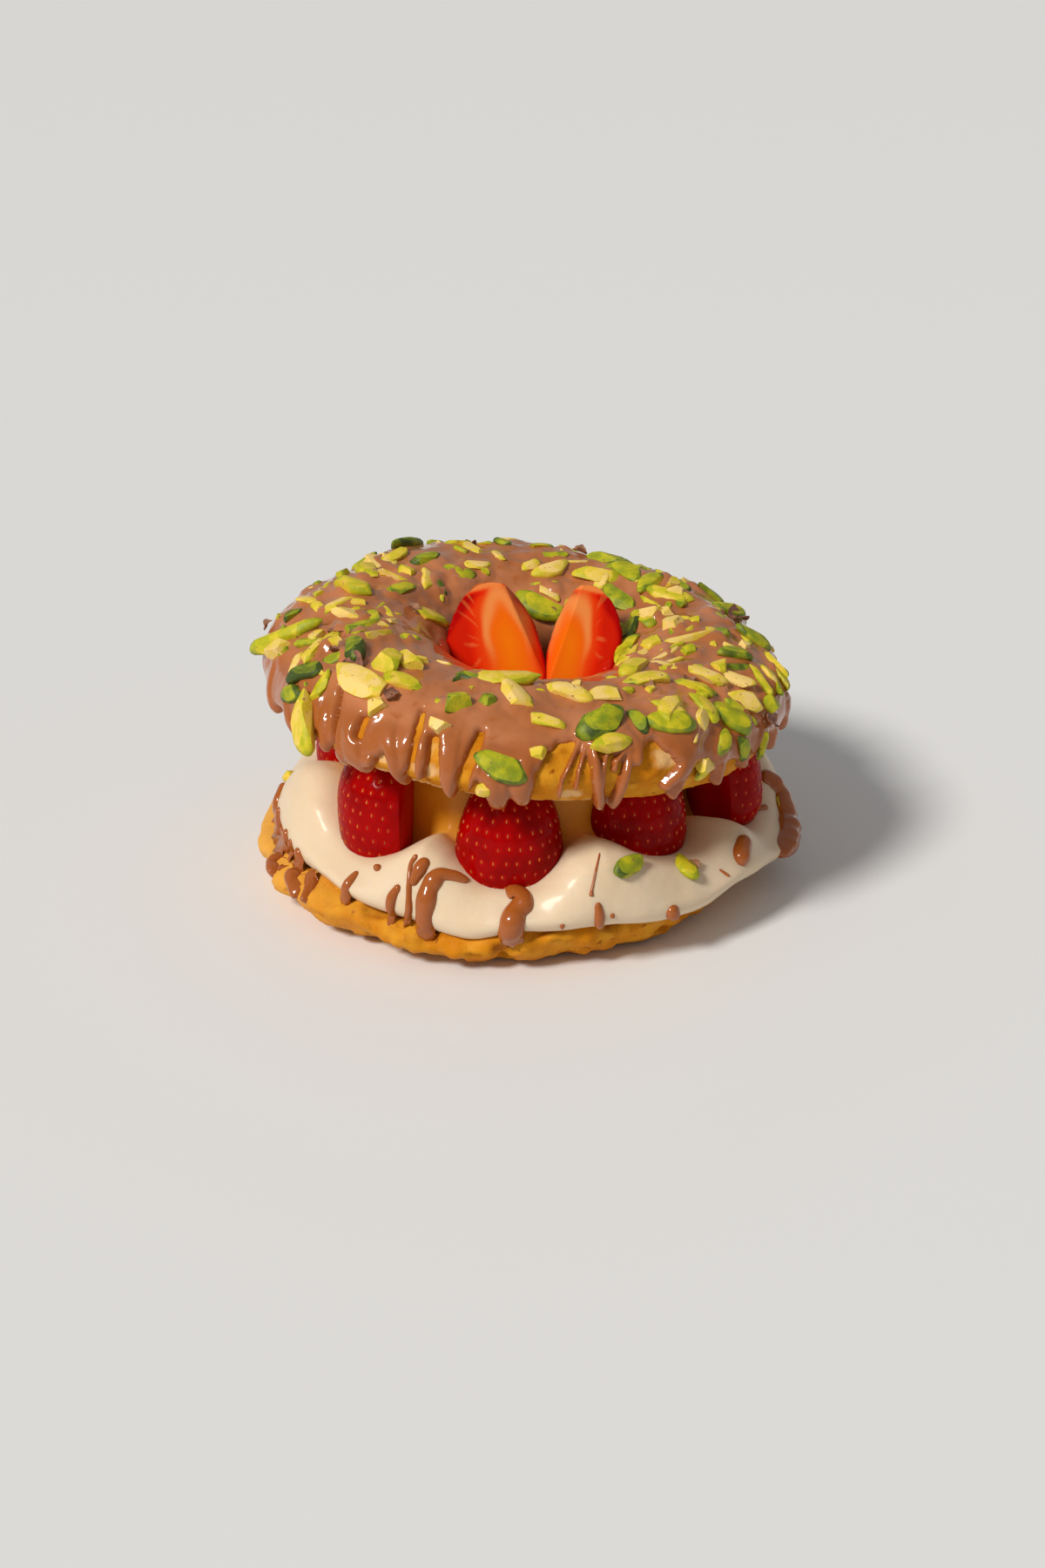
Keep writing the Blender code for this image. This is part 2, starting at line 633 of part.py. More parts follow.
def berry_shape(length, width, narrowing, grow=0.0, shoulder=0.0, fullness=2.0):
    """A strawberry that stands on its calyx end, tip up, from z = 0 to its length.

    A fullness over 2 gives it blunter ends than an egg has."""
    shape = bmesh.new()
    bmesh.ops.create_uvsphere(shape, u_segments=10, v_segments=8, radius=0.5)
    for vert in shape.verts:
        height = vert.co.z + 0.5
        taper = 1.0 - narrowing * max(0.0, height - 0.3) ** 1.3
        taper -= shoulder * max(0.0, 0.35 - height)
        if 0.001 < height < 0.999:
            away = abs(2.0 * height - 1.0)
            taper *= (1.0 - away ** fullness) ** (1.0 / fullness) / math.sqrt(1.0 - away ** 2)
        vert.co.x *= (width + 2.0 * grow) * taper
        vert.co.y *= (width + 2.0 * grow) * taper
        vert.co.z = height * (length + 2.0 * grow) - grow
    return shape


def slice_off(shape, point, outwards):
    """Cut off what lies beyond a plane, and close the cut."""
    cut = bmesh.ops.bisect_plane(
        shape, geom=shape.verts[:] + shape.edges[:] + shape.faces[:],
        plane_co=point, plane_no=outwards, clear_outer=True,
    )
    rim = [part for part in cut["geom_cut"] if isinstance(part, bmesh.types.BMEdge)]
    bmesh.ops.contextual_create(shape, geom=rim)


def place_berry(made, berry):
    bearing, radius, _, low, turn, _, _ = berry
    made.location = on_ring(radius * MM, bearing, low * MM)
    made.rotation_euler.z = math.radians(bearing + turn)


def berry_half(name, berry, collection, material, grow=0.0):
    """Half a berry as tall as the gap that it stands in, its cut face turned inwards."""
    bearing, radius, width, low, _, narrowing, _ = berry
    length = lid_underside(on_ring(radius * MM, bearing)) - GAP - low * MM - 0.5 * MM
    shape = berry_shape(length, width * MM, narrowing, grow, fullness=BERRY_FULLNESS)
    inwards = Vector((0.0, 1.0, 0.0))
    slice_off(shape, Vector((0.0, 0.16 * width * MM + grow, 0.0)), inwards)
    half = new_object(name, shape, collection, material)
    place_berry(half, berry)
    return half


def wedge(name, spec, collection, material, parent):
    """A berry cut lengthwise, its face turned forwards, with a second cut towards its twin.

    Its own frame has X to the left and Z from the calyx end to the tip."""
    calyx, tip, width, thickness, side, near, far, narrowing, shoulder = spec
    length = (tip - calyx).length * MM
    shape = berry_shape(length, width * MM, narrowing, shoulder=shoulder)
    face = (width / 2.0 - thickness) * MM
    slice_off(shape, Vector((0.0, face, 0.0)), Vector((0, -1, 0)))
    facet = Vector((-side * WEDGE_FACET, -math.sqrt(1.0 - WEDGE_FACET ** 2),
                    -WEDGE_FACET * (far - near) * MM / length))
    slice_off(shape, Vector((-side * near * MM, face, 0.0)), facet.normalized())
    made = new_object(name, shape, collection, material, parent)
    axis = (tip - calyx).normalized()
    back = Vector((0.0, 1.0, 0.0))
    back = (back - back.dot(axis) * axis).normalized()
    across = back.cross(axis).normalized()
    turned = Matrix((across, back, axis)).transposed()
    made.matrix_local = Matrix.Translation(calyx * MM) @ turned.to_4x4()
    return made


# ---- the whole --------------------------------------------------------------------------------

def build_cream(collection, material):
    """The ring of cream with what lies on it, and a socket for each berry."""
    cream = loft_ring("cream", cream_section, collection, material)
    toppings = new_collection("cream_toppings")
    for number, (path, width) in enumerate(CREAM_STROKES):
        stroke(f"stroke_{number}", path, width, toppings, material)
    draw = random.Random(NUT_SEED + 3)
    for number, (bearing, climb, heading, length) in enumerate(CREAM_NUTS):
        size = nut_size("kernel", length)
        point, up, along = cream_surface(bearing, climb, 0.2 * size[2] * MM)
        place = frame_at(point, up, along, heading)
        nut(f"cream_nut_{number}", place, size, draw, toppings, material)
    fuse(cream, toppings)
    sockets = new_collection("sockets")
    for number, berry in enumerate(BERRIES, 1):
        berry_half(f"socket_{number}", berry, sockets, material, grow=GAP)
    cut_away(cream, sockets)


def main():
    clear_scene()
    pieces = new_collection("paris_brest")
    choux = new_material("choux", GOLD, 0.6)
    ivory = new_material("pastry_cream", IVORY, 0.25)
    cocoa = new_material("milk_chocolate", COCOA, 0.2)
    red = new_material("strawberry", BERRY_RED, 0.3)
    flesh = new_material("strawberry_flesh", BERRY_FLESH, 0.3)

    loft_ring("choux_base", base_section, pieces, choux)
    build_cream(pieces, ivory)
    for number, berry in enumerate(BERRIES, 1):
        berry_half(f"berry_{number}", berry, pieces, red)

    seat = bpy.data.objects.new("lid_seat", None)
    seat.location = LID_SEAT
    seat.rotation_euler.y = math.radians(LID_TILT)
    pieces.objects.link(seat)
    loft_ring("choux_lid", lid_section, pieces, choux, seat)
    build_coat(pieces, cocoa, seat)
    for name, spec in WEDGES.items():
        wedge(name, spec, pieces, flesh, seat)


main()
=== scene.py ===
"""A paris-brest: choux, pastry cream, strawberry halves, milk chocolate and broken pistachios.

Bearings are in degrees round the ring, from the front (-Y), positive towards the right (+X).
A climb says how far a place on the lid is from its outer cut edge, 0, over the crown, about 0.5,
to the edge of its hole, 1. Arrays of places have x, y and z, in metres, as their last axis.
"""
import math
import random

import bmesh
import bpy
import numpy as np
from mathutils import Matrix, Vector, kdtree, noise
from mathutils.bvhtree import BVHTree


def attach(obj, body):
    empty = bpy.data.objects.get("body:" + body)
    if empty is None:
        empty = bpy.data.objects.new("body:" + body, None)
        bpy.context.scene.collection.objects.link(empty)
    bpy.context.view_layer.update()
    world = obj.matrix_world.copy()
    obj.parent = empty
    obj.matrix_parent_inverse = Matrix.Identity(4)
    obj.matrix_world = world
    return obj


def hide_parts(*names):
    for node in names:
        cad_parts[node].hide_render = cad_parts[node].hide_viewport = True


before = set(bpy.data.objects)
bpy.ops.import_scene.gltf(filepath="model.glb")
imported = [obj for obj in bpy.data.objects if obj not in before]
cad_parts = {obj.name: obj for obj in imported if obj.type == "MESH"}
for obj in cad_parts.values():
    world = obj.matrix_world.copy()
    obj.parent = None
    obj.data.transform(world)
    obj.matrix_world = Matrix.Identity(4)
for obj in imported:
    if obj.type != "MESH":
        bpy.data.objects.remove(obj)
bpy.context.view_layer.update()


# ---- the choux base ---------------------------------------------------------------------------
# The lower half of a ring of choux pastry, cut flat and laid on its browned underside. Its rim is
# thin and craggy, folded where the dough ran as it baked, golden outside and paler in the folds.

MM = 0.001
GAP = 0.35 * MM                     # air that the solids keep between pieces that touch
BASE_RADIUS = 70.5 * MM
BASE_HEIGHT = 14.5 * MM
BASE_SHIFT = -5.5 * MM              # its outline lies a little to the left
BASE_HOLE = 21.0 * MM
BASE_SHOULDER = 10.0 * MM           # the top falls towards the rim over this width
BASE_RIM = (                        # height of the rim: bearing and millimetres
    (-180, 12.0), (-150, 10.5), (-120, 12.5), (-90, 12.0), (-60, 11.5), (-41, 12.9), (-27, 10.0),
    (-13, 8.2), (1, 12.4), (16, 13.4), (31, 11.4), (40, 11.0), (52, 13.4), (75, 11.5),
    (105, 12.5), (140, 10.5),
)
BASE_POINTS = 92                    # points round each section
CRUST_STEP = 0.75                   # degrees between the sections of the base and of the lid
SMOOTH_BEARING = -84.0              # the crust stayed smooth and pale round this bearing
SMOOTH_SPREAD = 34.0
GOLDEN = (0.62, 0.21, 0.005)
LIGHT_GOLDEN = (0.73, 0.32, 0.020)
BROWNED = (0.32, 0.085, 0.004)
PALE_CRUST = (0.84, 0.42, 0.075)
PALE_DOUGH = (0.78, 0.42, 0.10)
OPEN_CRUMB = (0.80, 0.47, 0.19)


def on_ring(radius, bearing, height=0.0):
    """Places at a radius, a bearing and a height."""
    turn = np.radians(bearing)
    return np.stack(np.broadcast_arrays(radius * np.sin(turn), -radius * np.cos(turn), height), -1)


def angle_between(first, second):
    """Degrees between bearings, the short way round."""
    return np.abs((first - second + 180.0) % 360.0 - 180.0)


def swelling(bearing, centre, spread, steepness=2.0):
    """A smooth hump of height 1 round the ring at the centre bearing."""
    return np.exp(-(angle_between(bearing, centre) / spread) ** steepness)


def ease(share):
    """A share held within 0 and 1, that starts and ends softly."""
    share = np.clip(share, 0.0, 1.0)
    return share * share * (3.0 - 2.0 * share)


def read_curve(points, bearing):
    """Read values at bearings from (bearing, value) points that go all the way round."""
    places = np.array([place for place, _ in points] + [points[0][0] + 360.0])
    values = np.array([value for _, value in points] + [points[0][1]])
    around = (np.asarray(bearing, float) - places[0]) % 360.0 + places[0]
    left = np.clip(np.searchsorted(places, around, "right") - 1, 0, len(places) - 2)
    share = (around - places[left]) / (places[left + 1] - places[left])
    return values[left] + (values[left + 1] - values[left]) * ease(share)


def wrinkle(places, size):
    """Smooth random heights, from about -1 to 1, that vary over the given size."""
    spots = (np.asarray(places) / size).reshape(-1, 3).tolist()
    return np.array([noise.noise(spot) for spot in spots]).reshape(np.shape(places)[:-1])


def rounded(corners, times):
    """Round closed outlines, (outline, corner, 2): each corner gives way to two points."""
    for _ in range(times):
        after = np.roll(corners, -1, axis=1)
        pair = 0.75 * corners + 0.25 * after, 0.25 * corners + 0.75 * after
        corners = np.stack(pair, axis=2).reshape(len(corners), -1, 2)
    return corners


def evenly(outlines, count):
    """Place count points at even steps along each closed outline."""
    spaced = []
    for outline in outlines:
        closed = np.vstack((outline, outline[:1]))
        run = np.append(0.0, np.cumsum(np.linalg.norm(np.diff(closed, axis=0), axis=1)))
        stops = np.linspace(0.0, run[-1], count, endpoint=False)
        spaced.append(np.stack([np.interp(stops, run, closed[:, axis]) for axis in (0, 1)], 1))
    return np.array(spaced)


def unit(ways):
    """Directions of length 1."""
    return ways / np.maximum(np.linalg.norm(ways, axis=-1, keepdims=True), 1e-12)


def outwards(grid, ring=True, tube=True):
    """The direction out of a grid of places whose rows follow each other round the ring."""
    def step(axis, closed):
        if closed:
            return np.roll(grid, -1, axis) - np.roll(grid, 1, axis)
        return np.gradient(grid, axis=axis)
    return unit(np.cross(step(0, ring), step(1, tube)))


def grid_faces(rows, count, ring=True, tube=True):
    """Four-sided faces of a grid, closed round the ring, round the tube, or both."""
    index = np.arange(rows * count).reshape(rows, count)
    first, second = (index, np.roll(index, -1, 0)) if ring else (index[:-1], index[1:])
    if tube:
        corners = first, second, np.roll(second, -1, 1), np.roll(first, -1, 1)
    else:
        corners = first[:, :-1], second[:, :-1], second[:, 1:], first[:, 1:]
    return np.stack(corners, -1).reshape(-1, 4)


def mesh_object(name, places, faces, values=None, face_values=None):
    """A smooth object, with named values of its places and faces for its material to read."""
    mesh = bpy.data.meshes.new(name)
    faces = faces if isinstance(faces, list) else np.asarray(faces).tolist()
    mesh.from_pydata(np.reshape(places, (-1, 3)).tolist(), [], faces)
    for domain, named in (("POINT", values), ("FACE", face_values)):
        for label, numbers in (named or {}).items():
            layer = mesh.attributes.new(label, "FLOAT", domain)
            layer.data.foreach_set("value", np.ravel(numbers).astype(np.float32))
    mesh.shade_smooth()
    made = bpy.data.objects.new(name, mesh)
    bpy.context.scene.collection.objects.link(made)
    return made


def finish_piece(made, material, slot=None, *nodes):
    """Give a piece its material, put it on the body, and hide the model's parts that it stands for.
    """
    made.data.materials.append(material)
    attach(made, "root")
    if nodes:
        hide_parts(*nodes)


def new_material(name, roughness, **settings):
    """A material and its shader, with plain values set on the shader's own sockets."""
    made = bpy.data.materials.new(name)
    made.use_nodes = True
    shader = made.node_tree.nodes["Principled BSDF"]
    shader.inputs["Roughness"].default_value = roughness
    for setting, value in settings.items():
        socket = setting.replace("_", " ").title().replace("Ior", "IOR")
        shader.inputs[socket].default_value = value
    return made, made.node_tree, shader


def feed(tree, socket, value):
    """Link a value that is a socket, or set it; a colour gets its fourth number."""
    if isinstance(value, bpy.types.NodeSocket):
        tree.links.new(value, socket)
    elif isinstance(value, tuple) and len(value) == 3 and socket.type == "RGBA":
        socket.default_value = (*value, 1.0)
    else:
        socket.default_value = value


def mixed(tree, share, first, second):
    """Blend two colours, each a colour or a socket, by a share."""
    made = tree.nodes.new("ShaderNodeMix")
    made.data_type = "RGBA"
    feed(tree, made.inputs[0], share)
    feed(tree, made.inputs[6], first)
    feed(tree, made.inputs[7], second)
    return made.outputs[2]


def spread(tree, value, low, high, first=0.0, last=1.0):
    """Map low to high onto first to last, smoothly."""
    made = tree.nodes.new("ShaderNodeMapRange")
    made.interpolation_type = "SMOOTHSTEP"
    for spot, number in enumerate((value, low, high, first, last)):
        feed(tree, made.inputs[spot], number)
    return made.outputs[0]


def value_of(tree, label):
    """A named value of the mesh."""
    made = tree.nodes.new("ShaderNodeAttribute")
    made.attribute_name = label
    return made.outputs["Fac"]


def cloud_group(name, extra, output, kind):
    """A shader group round a cloud of noise whose size is given in millimetres."""
    group = bpy.data.node_groups.new(name, "ShaderNodeTree")
    for label, default in (("Size", 5.0), ("Detail", 3.0)) + extra:
        socket = group.interface.new_socket(label, in_out="INPUT", socket_type="NodeSocketFloat")
        socket.default_value = default
    group.interface.new_socket(output, in_out="OUTPUT", socket_type=kind)
    given = group.nodes.new("NodeGroupInput").outputs
    result = group.nodes.new("NodeGroupOutput")
    scale = group.nodes.new("ShaderNodeMath")
    scale.operation = "DIVIDE"
    scale.inputs[0].default_value = 1000.0
    group.links.new(given["Size"], scale.inputs[1])
    cloud = group.nodes.new("ShaderNodeTexNoise")
    where = group.nodes.new("ShaderNodeTexCoord")
    group.links.new(where.outputs["Object"], cloud.inputs["Vector"])
    group.links.new(scale.outputs[0], cloud.inputs["Scale"])
    group.links.new(given["Detail"], cloud.inputs["Detail"])
    return group, given, cloud.outputs["Fac"], result


# Soft blotches: a mask from 0 to 1.
BLOTCHES, given, cloud, result = cloud_group(
    "blotches", (("From", 0.4), ("To", 0.6)), "Mask", "NodeSocketFloat")
BLOTCHES.links.new(spread(BLOTCHES, cloud, given["From"], given["To"]), result.inputs["Mask"])

# Fine relief: a bumpy normal, its height in millimetres.
RELIEF, given, cloud, result = cloud_group(
    "fine_relief", (("Height", 0.1),), "Normal", "NodeSocketVector")
height = RELIEF.nodes.new("ShaderNodeMath")
height.operation = "MULTIPLY"
height.inputs[1].default_value = MM
RELIEF.links.new(given["Height"], height.inputs[0])
bump = RELIEF.nodes.new("ShaderNodeBump")
RELIEF.links.new(cloud, bump.inputs["Height"])
RELIEF.links.new(height.outputs[0], bump.inputs["Distance"])
RELIEF.links.new(bump.outputs["Normal"], result.inputs["Normal"])


def blotches(tree, size, low=0.4, high=0.6, detail=3.0):
    """A mask of soft blotches, their size in millimetres."""
    made = tree.nodes.new("ShaderNodeGroup")
    made.node_tree = BLOTCHES
    for label, value in (("Size", size), ("Detail", detail), ("From", low), ("To", high)):
        made.inputs[label].default_value = value
    return made.outputs["Mask"]


def relief(tree, shader, size, height, detail=4.0):
    """Give a shader fine relief, its size and height in millimetres."""
    made = tree.nodes.new("ShaderNodeGroup")
    made.node_tree = RELIEF
    for label, value in (("Size", size), ("Detail", detail), ("Height", height)):
        made.inputs[label].default_value = value
    tree.links.new(made.outputs["Normal"], shader.inputs["Normal"])


def choux_material():
    """Baked choux: browned on what stands out, golden, and paler in folds and torn crumb."""
    made, tree, shader = new_material("baked_choux", 0.5, specular_ior_level=0.06)
    colour = mixed(tree, blotches(tree, 9.0, 0.35, 0.68), GOLDEN, LIGHT_GOLDEN)
    colour = mixed(tree, spread(tree, value_of(tree, "raised"), 0.25, 1.2), colour, BROWNED)
    colour = mixed(tree, blotches(tree, 2.2, 0.60, 0.78), colour, BROWNED)
    colour = mixed(tree, value_of(tree, "pale"), colour, PALE_CRUST)
    colour = mixed(tree, spread(tree, value_of(tree, "raised"), -0.05, -0.7), colour, PALE_DOUGH)
    colour = mixed(tree, value_of(tree, "crumb"), colour, OPEN_CRUMB)
    feed(tree, shader.inputs["Base Color"], colour)
    relief(tree, shader, 1.1, 0.22, 5.0)
    return made


def base_rim(bearing):
    """Radius and height of the base's rim."""
    outer = BASE_RADIUS + BASE_SHIFT * np.sin(np.radians(bearing))
    outer = outer + 1.6 * MM * wrinkle(on_ring(outer, bearing), 16 * MM)
    return outer, read_curve(BASE_RIM, bearing) * MM


def base_top(bearing, radius):
    """Height of the base's upper side, flat within its shoulder and falling to its rim."""
    rim, height = base_rim(bearing)
    share = np.clip((radius - rim + BASE_SHOULDER) / BASE_SHOULDER, 0.0, 1.0)
    return BASE_HEIGHT + (height - BASE_HEIGHT) * share


def outline(*corners):
    """Corners of outlines, each a radius and a height, for every bearing or for all of them."""
    pairs = [np.stack(np.broadcast_arrays(*corner), -1) for corner in corners]
    widest = max(np.shape(pair)[0] if np.ndim(pair) > 1 else 1 for pair in pairs)
    return np.stack([np.broadcast_to(pair, (widest, 2)) for pair in pairs], axis=1)


bearing = np.arange(-180.0, 180.0, CRUST_STEP)
rim, height = base_rim(bearing)
fold = 2.4 * MM * wrinkle(on_ring(rim, bearing, 40 * MM), 9 * MM)
corners = outline(
    (rim - 11 * MM + 1.5 * fold, 0.0),
    (rim - 4.5 * MM + fold, 3.6 * MM),
    (rim - 0.5 * MM + fold, 0.62 * height),
    (rim, height),
    (rim - BASE_SHOULDER, BASE_HEIGHT),
    (BASE_HOLE + 5 * MM, BASE_HEIGHT),
    (BASE_HOLE - 1 * MM, 0.6 * BASE_HEIGHT),
    (BASE_HOLE + 4 * MM, 0.0),
)
section = evenly(rounded(corners, 3), BASE_POINTS)
grid = on_ring(section[..., 0], bearing[:, None], section[..., 1])

# The crust stands out in browned folds with paler furrows and a few deeper pits. The edge mask
# lets them fade out towards the hole and the underside.
edge = ease((section[..., 0] - 45 * MM) / (15 * MM)) * ease(grid[..., 2] / (2.5 * MM))
folds = 1.0 - 2.2 * np.abs(wrinkle(grid * (1.0, 1.0, 1.6), 8.5 * MM))
raised = 0.55 * folds + 0.45 * wrinkle(grid, 3.2 * MM)
smooth = swelling(bearing, SMOOTH_BEARING, SMOOTH_SPREAD)[:, None]
pits = 1.5 * ease((wrinkle(grid * (1.0, 1.0, 1.7) + 0.3, 6.5 * MM) - 0.16) / 0.3)
rough = 1.6 * raised + 0.2 * wrinkle(grid, 1.5 * MM) - pits
grid = grid + outwards(grid) * (edge * (1.0 - 0.75 * smooth) * rough * MM)[..., None]
grid[..., 2] = np.maximum(grid[..., 2], 0.0)
choux_base = mesh_object("choux_base_crust", grid, grid_faces(*grid.shape[:2]),
                         {"raised": (raised + 0.25 * pits) * edge * (1.0 - smooth),
                          "crumb": np.zeros_like(edge), "pale": 0.8 * smooth * edge})
baked_choux = choux_material()
finish_piece(choux_base, baked_choux, "choux", "choux_base")


# ---- the pastry cream -------------------------------------------------------------------------
# A thick rope of piped pastry cream on the base, soft and glossy, pressed in where the berries
# stand and sagging over the base at the right. Inside, a wall of cream reaches up to the lid.
# Towards the hole the cream is painted a warm orange as shade.

CREAM_RADIUS = 72.4 * MM
CREAM_SHIFT = 3.0 * MM              # its outline bulges a little to the right
CREAM_CROWN = (                     # its height between the berries: bearing and millimetres
    (-180, 36.0), (-72, 36.0), (-26, 32.6), (18, 33.0), (60, 29.0), (102, 33.0), (140, 36.0),
)
CREAM_WALL = 44.0 * MM              # radius of the inner wall, which reaches up to the lid
CREAM_HOLE = 20.0 * MM
CREAM_STEP = 0.8                    # degrees between its sections
CREAM_POINTS = 110
BERRY_DENT_SPREAD = 15.5            # degrees to each side that a berry dents the rope
SAG_BEARING = 86.0                  # where the cream sags over the edge of the base
SAG_SPREAD = 17.0
SAG_DEPTH = 5.5 * MM
LID_SEAT = np.array((0.5, 0.0, 49.0)) * MM      # where the lid lies, and its tilt to the right
LID_TILT = math.radians(2.6)

# The berries: bearing, ring radius, width and lowest point in mm, turn of the cut face in degrees,
# how much the half narrows to its tip, and the depth of its dent in the cream in mm.
BERRIES = (
    (-100, 48, 25, 17.0, 10, 0.30, 9.0),
    (-45.5, 49, 32, 15.8, -53, 0.15, 10.5),
    (-4, 50, 30, 15.4, 0, 0.50, 11.5),
    (41, 46, 31, 15.6, 8, 0.45, 7.5),
    (79, 56, 26, 15.6, 40, 0.30, 12.5),
    (126, 49, 28, 16.5, -12, 0.45, 12.0),
    (170, 50, 27, 16.0, 15, 0.40, 14.0),
    (214, 50, 28, 16.5, -8, 0.35, 12.0),
)
CUSTARD = (0.79, 0.63, 0.45)
CUSTARD_SHADE = (0.77, 0.60, 0.40)
# painted shade: the cream towards the hole, shaded by the lid and warmed by light off the choux
CUSTARD_PAINTED_SHADE = (0.78, 0.31, 0.012)


def lid_underside(places):
    """Height of the lid's cut plane over places."""
    return LID_SEAT[2] - math.tan(LID_TILT) * (places[..., 0] - LID_SEAT[0])


bearing = np.arange(-180.0, 180.0, CREAM_STEP)
outer = CREAM_RADIUS + CREAM_SHIFT * np.sin(np.radians(bearing))
outer = outer + 1.6 * MM * wrinkle(on_ring(outer, bearing), 22 * MM)
dent = np.max([berry[-1] * MM * swelling(bearing, berry[0], BERRY_DENT_SPREAD, 3.0)
               for berry in BERRIES], axis=0)
crown = read_curve(CREAM_CROWN, bearing) * MM - dent
crown = crown + 1.0 * MM * wrinkle(on_ring(50 * MM, bearing), 18 * MM)
seat = BASE_HEIGHT + GAP
rim, _ = base_rim(bearing)
heel = np.minimum(rim, outer - 3 * MM)
lip = base_top(bearing, outer - 1 * MM) + 2.0 * GAP
lip = lip - SAG_DEPTH * swelling(bearing, SAG_BEARING, SAG_SPREAD)
top = lid_underside(on_ring(CREAM_WALL, bearing)) - GAP
inner_top = lid_underside(on_ring(CREAM_HOLE, bearing)) - GAP
corners = outline(
    (rim - BASE_SHOULDER, seat),
    (heel, base_top(bearing, heel) + GAP),
    (outer - 1.0 * MM, lip),
    (outer + 1.2 * MM, lip + 4.0 * MM),
    (outer - 0.5 * MM, 0.45 * lip + 0.55 * crown),
    (outer - 6.0 * MM, crown + 1.2 * MM),
    (outer - 17 * MM, crown + 0.4 * MM),
    (CREAM_WALL + 2.5 * MM, crown - 3 * MM),
    (CREAM_WALL, top),
    (CREAM_HOLE + 4 * MM, inner_top),
    (CREAM_HOLE, 0.5 * (inner_top + seat)),
    (CREAM_HOLE + 3.5 * MM, seat),
)
section = evenly(rounded(corners, 3), CREAM_POINTS)
grid = on_ring(section[..., 0], bearing[:, None], section[..., 1])

# The open side of the rope is softly rippled, along the way it was piped.
open_side = ease((section[..., 0] - 40 * MM) / (10 * MM))
open_side = open_side * ease((grid[..., 2] - 12 * MM) / (4 * MM))
flow = grid * (1.0, 1.0, 3.2)
ripple = 0.7 * wrinkle(flow, 16 * MM) + 0.4 * wrinkle(flow, 7 * MM)
ripple = ripple + 0.10 * wrinkle(flow, 3.0 * MM)
grid = grid + outwards(grid) * (open_side * 0.55 * ripple * MM)[..., None]
# deep grows towards the hole, inside 60 mm from the axis: it is a mask of painted shade.
cream = mesh_object("pastry_cream_ring", grid, grid_faces(*grid.shape[:2]),
                    {"deep": ease((60 * MM - section[..., 0]) / (14 * MM))})
material, tree, shader = new_material(
    "pastry_cream", 0.42, specular_ior_level=0.2, coat_weight=0.12, coat_roughness=0.12,
    subsurface_weight=0.25, subsurface_scale=0.004)
shader.inputs["Subsurface Radius"].default_value = (1.0, 0.6, 0.3)
colour = mixed(tree, blotches(tree, 14.0, 0.3, 0.7), CUSTARD, CUSTARD_SHADE)
# Painted shade: the cream towards the hole is painted a warm orange.
colour = mixed(tree, value_of(tree, "deep"), colour, CUSTARD_PAINTED_SHADE)
feed(tree, shader.inputs["Base Color"], colour)
relief(tree, shader, 2.5, 0.12, 3.0)
finish_piece(cream, material, "pastry_cream", "cream")


# ---- the strawberries -------------------------------------------------------------------------
# Halved strawberries stand on their calyx ends round the ring, pressed into the rope of cream,
# skin outwards, their tops under the lid. Each seed sits in a small dimple of the shiny skin.
# The skin of the halves is painted darker, as shade from the lid.

SEED_SPACING = 2.85 * MM
SEED_STRAY = 0.12                   # how far seeds stray in their row, as a share of their gap
SEED_SIZE = 1.15 * MM, 0.46 * MM, 0.55 * MM     # along the berry, across it, and out of it
SEED_SINK = 0.16 * MM
DIMPLE_DEPTH = 0.22 * MM
DIMPLE_RADIUS = 0.95 * MM
BERRY_FULLNESS = 3.2                # the halves are blunter than eggs
BERRY_ROWS = 78                     # rows of the mesh from calyx to tip
POLE_ROOM = 0.00005                 # share of the height by which the end rows stay open
BERRY_CLEARANCE = 0.5 * MM          # room left between a half and the lid
CUT_FACE = 0.16                     # the cut is this share of the width behind the axis
RIPE_RED = (0.44, 0.0004, 0.0003)
DEEP_RED = (0.30, 0.0005, 0.0005)
# painted shade on the skin of the halves under the lid
PAINTED_SHADE_RED = (0.15, 0.0003, 0.0005)
DIMPLE_RED = (0.50, 0.004, 0.001)
FLESH_COLOURS = (                   # from the heart, 0, to under the skin, 1
    (0.0, (0.95, 0.20, 0.002)), (0.24, (0.95, 0.15, 0.003)), (0.36, (0.93, 0.12, 0.008)),
    (0.46, (0.88, 0.060, 0.004)), (0.64, (0.80, 0.020, 0.002)), (0.93, (0.46, 0.0015, 0.001)),
)
PALE_STREAK = (0.93, 0.31, 0.075)
SEED_GOLD = (0.60, 0.17, 0.010)
SEED_BROWN = (0.40, 0.05, 0.004)


def colour_ramp(tree, stops, share):
    """Colours set at shares from 0 to 1, read at a share."""
    made = tree.nodes.new("ShaderNodeValToRGB")
    for _ in stops[2:]:
        made.color_ramp.elements.new(0.5)
    for stop, (place, colour) in zip(made.color_ramp.elements, stops):
        stop.position = place
        stop.color = (*colour, 1.0)
    feed(tree, made.inputs[0], share)
    return made.outputs[0]


def strawberry_material(name, painted_shade):
    """Red skin, darker in blotches and by the share of painted shade, over flesh from red to a pale
    orange heart.
    """
    made, tree, shader = new_material(name, 0.3, specular_ior_level=0.02, coat_weight=0.10,
                                      coat_roughness=0.05)
    skin = mixed(tree, blotches(tree, 9.0, 0.35, 0.7), RIPE_RED, DEEP_RED)
    # Painted shade: the whole skin is darkened towards a deep red by the given share.
    skin = mixed(tree, painted_shade, skin, PAINTED_SHADE_RED)
    skin = mixed(tree, spread(tree, value_of(tree, "dimple"), 0.2, 1.0), skin, DIMPLE_RED)
    flesh = colour_ramp(tree, FLESH_COLOURS, value_of(tree, "heart"))
    colour = mixed(tree, value_of(tree, "flesh"), skin, flesh)
    colour = mixed(tree, spread(tree, value_of(tree, "streak"), 0.1, 0.9), colour, PALE_STREAK)
    feed(tree, shader.inputs["Base Color"], colour)
    relief(tree, shader, 0.8, 0.06, 2.0)
    return made


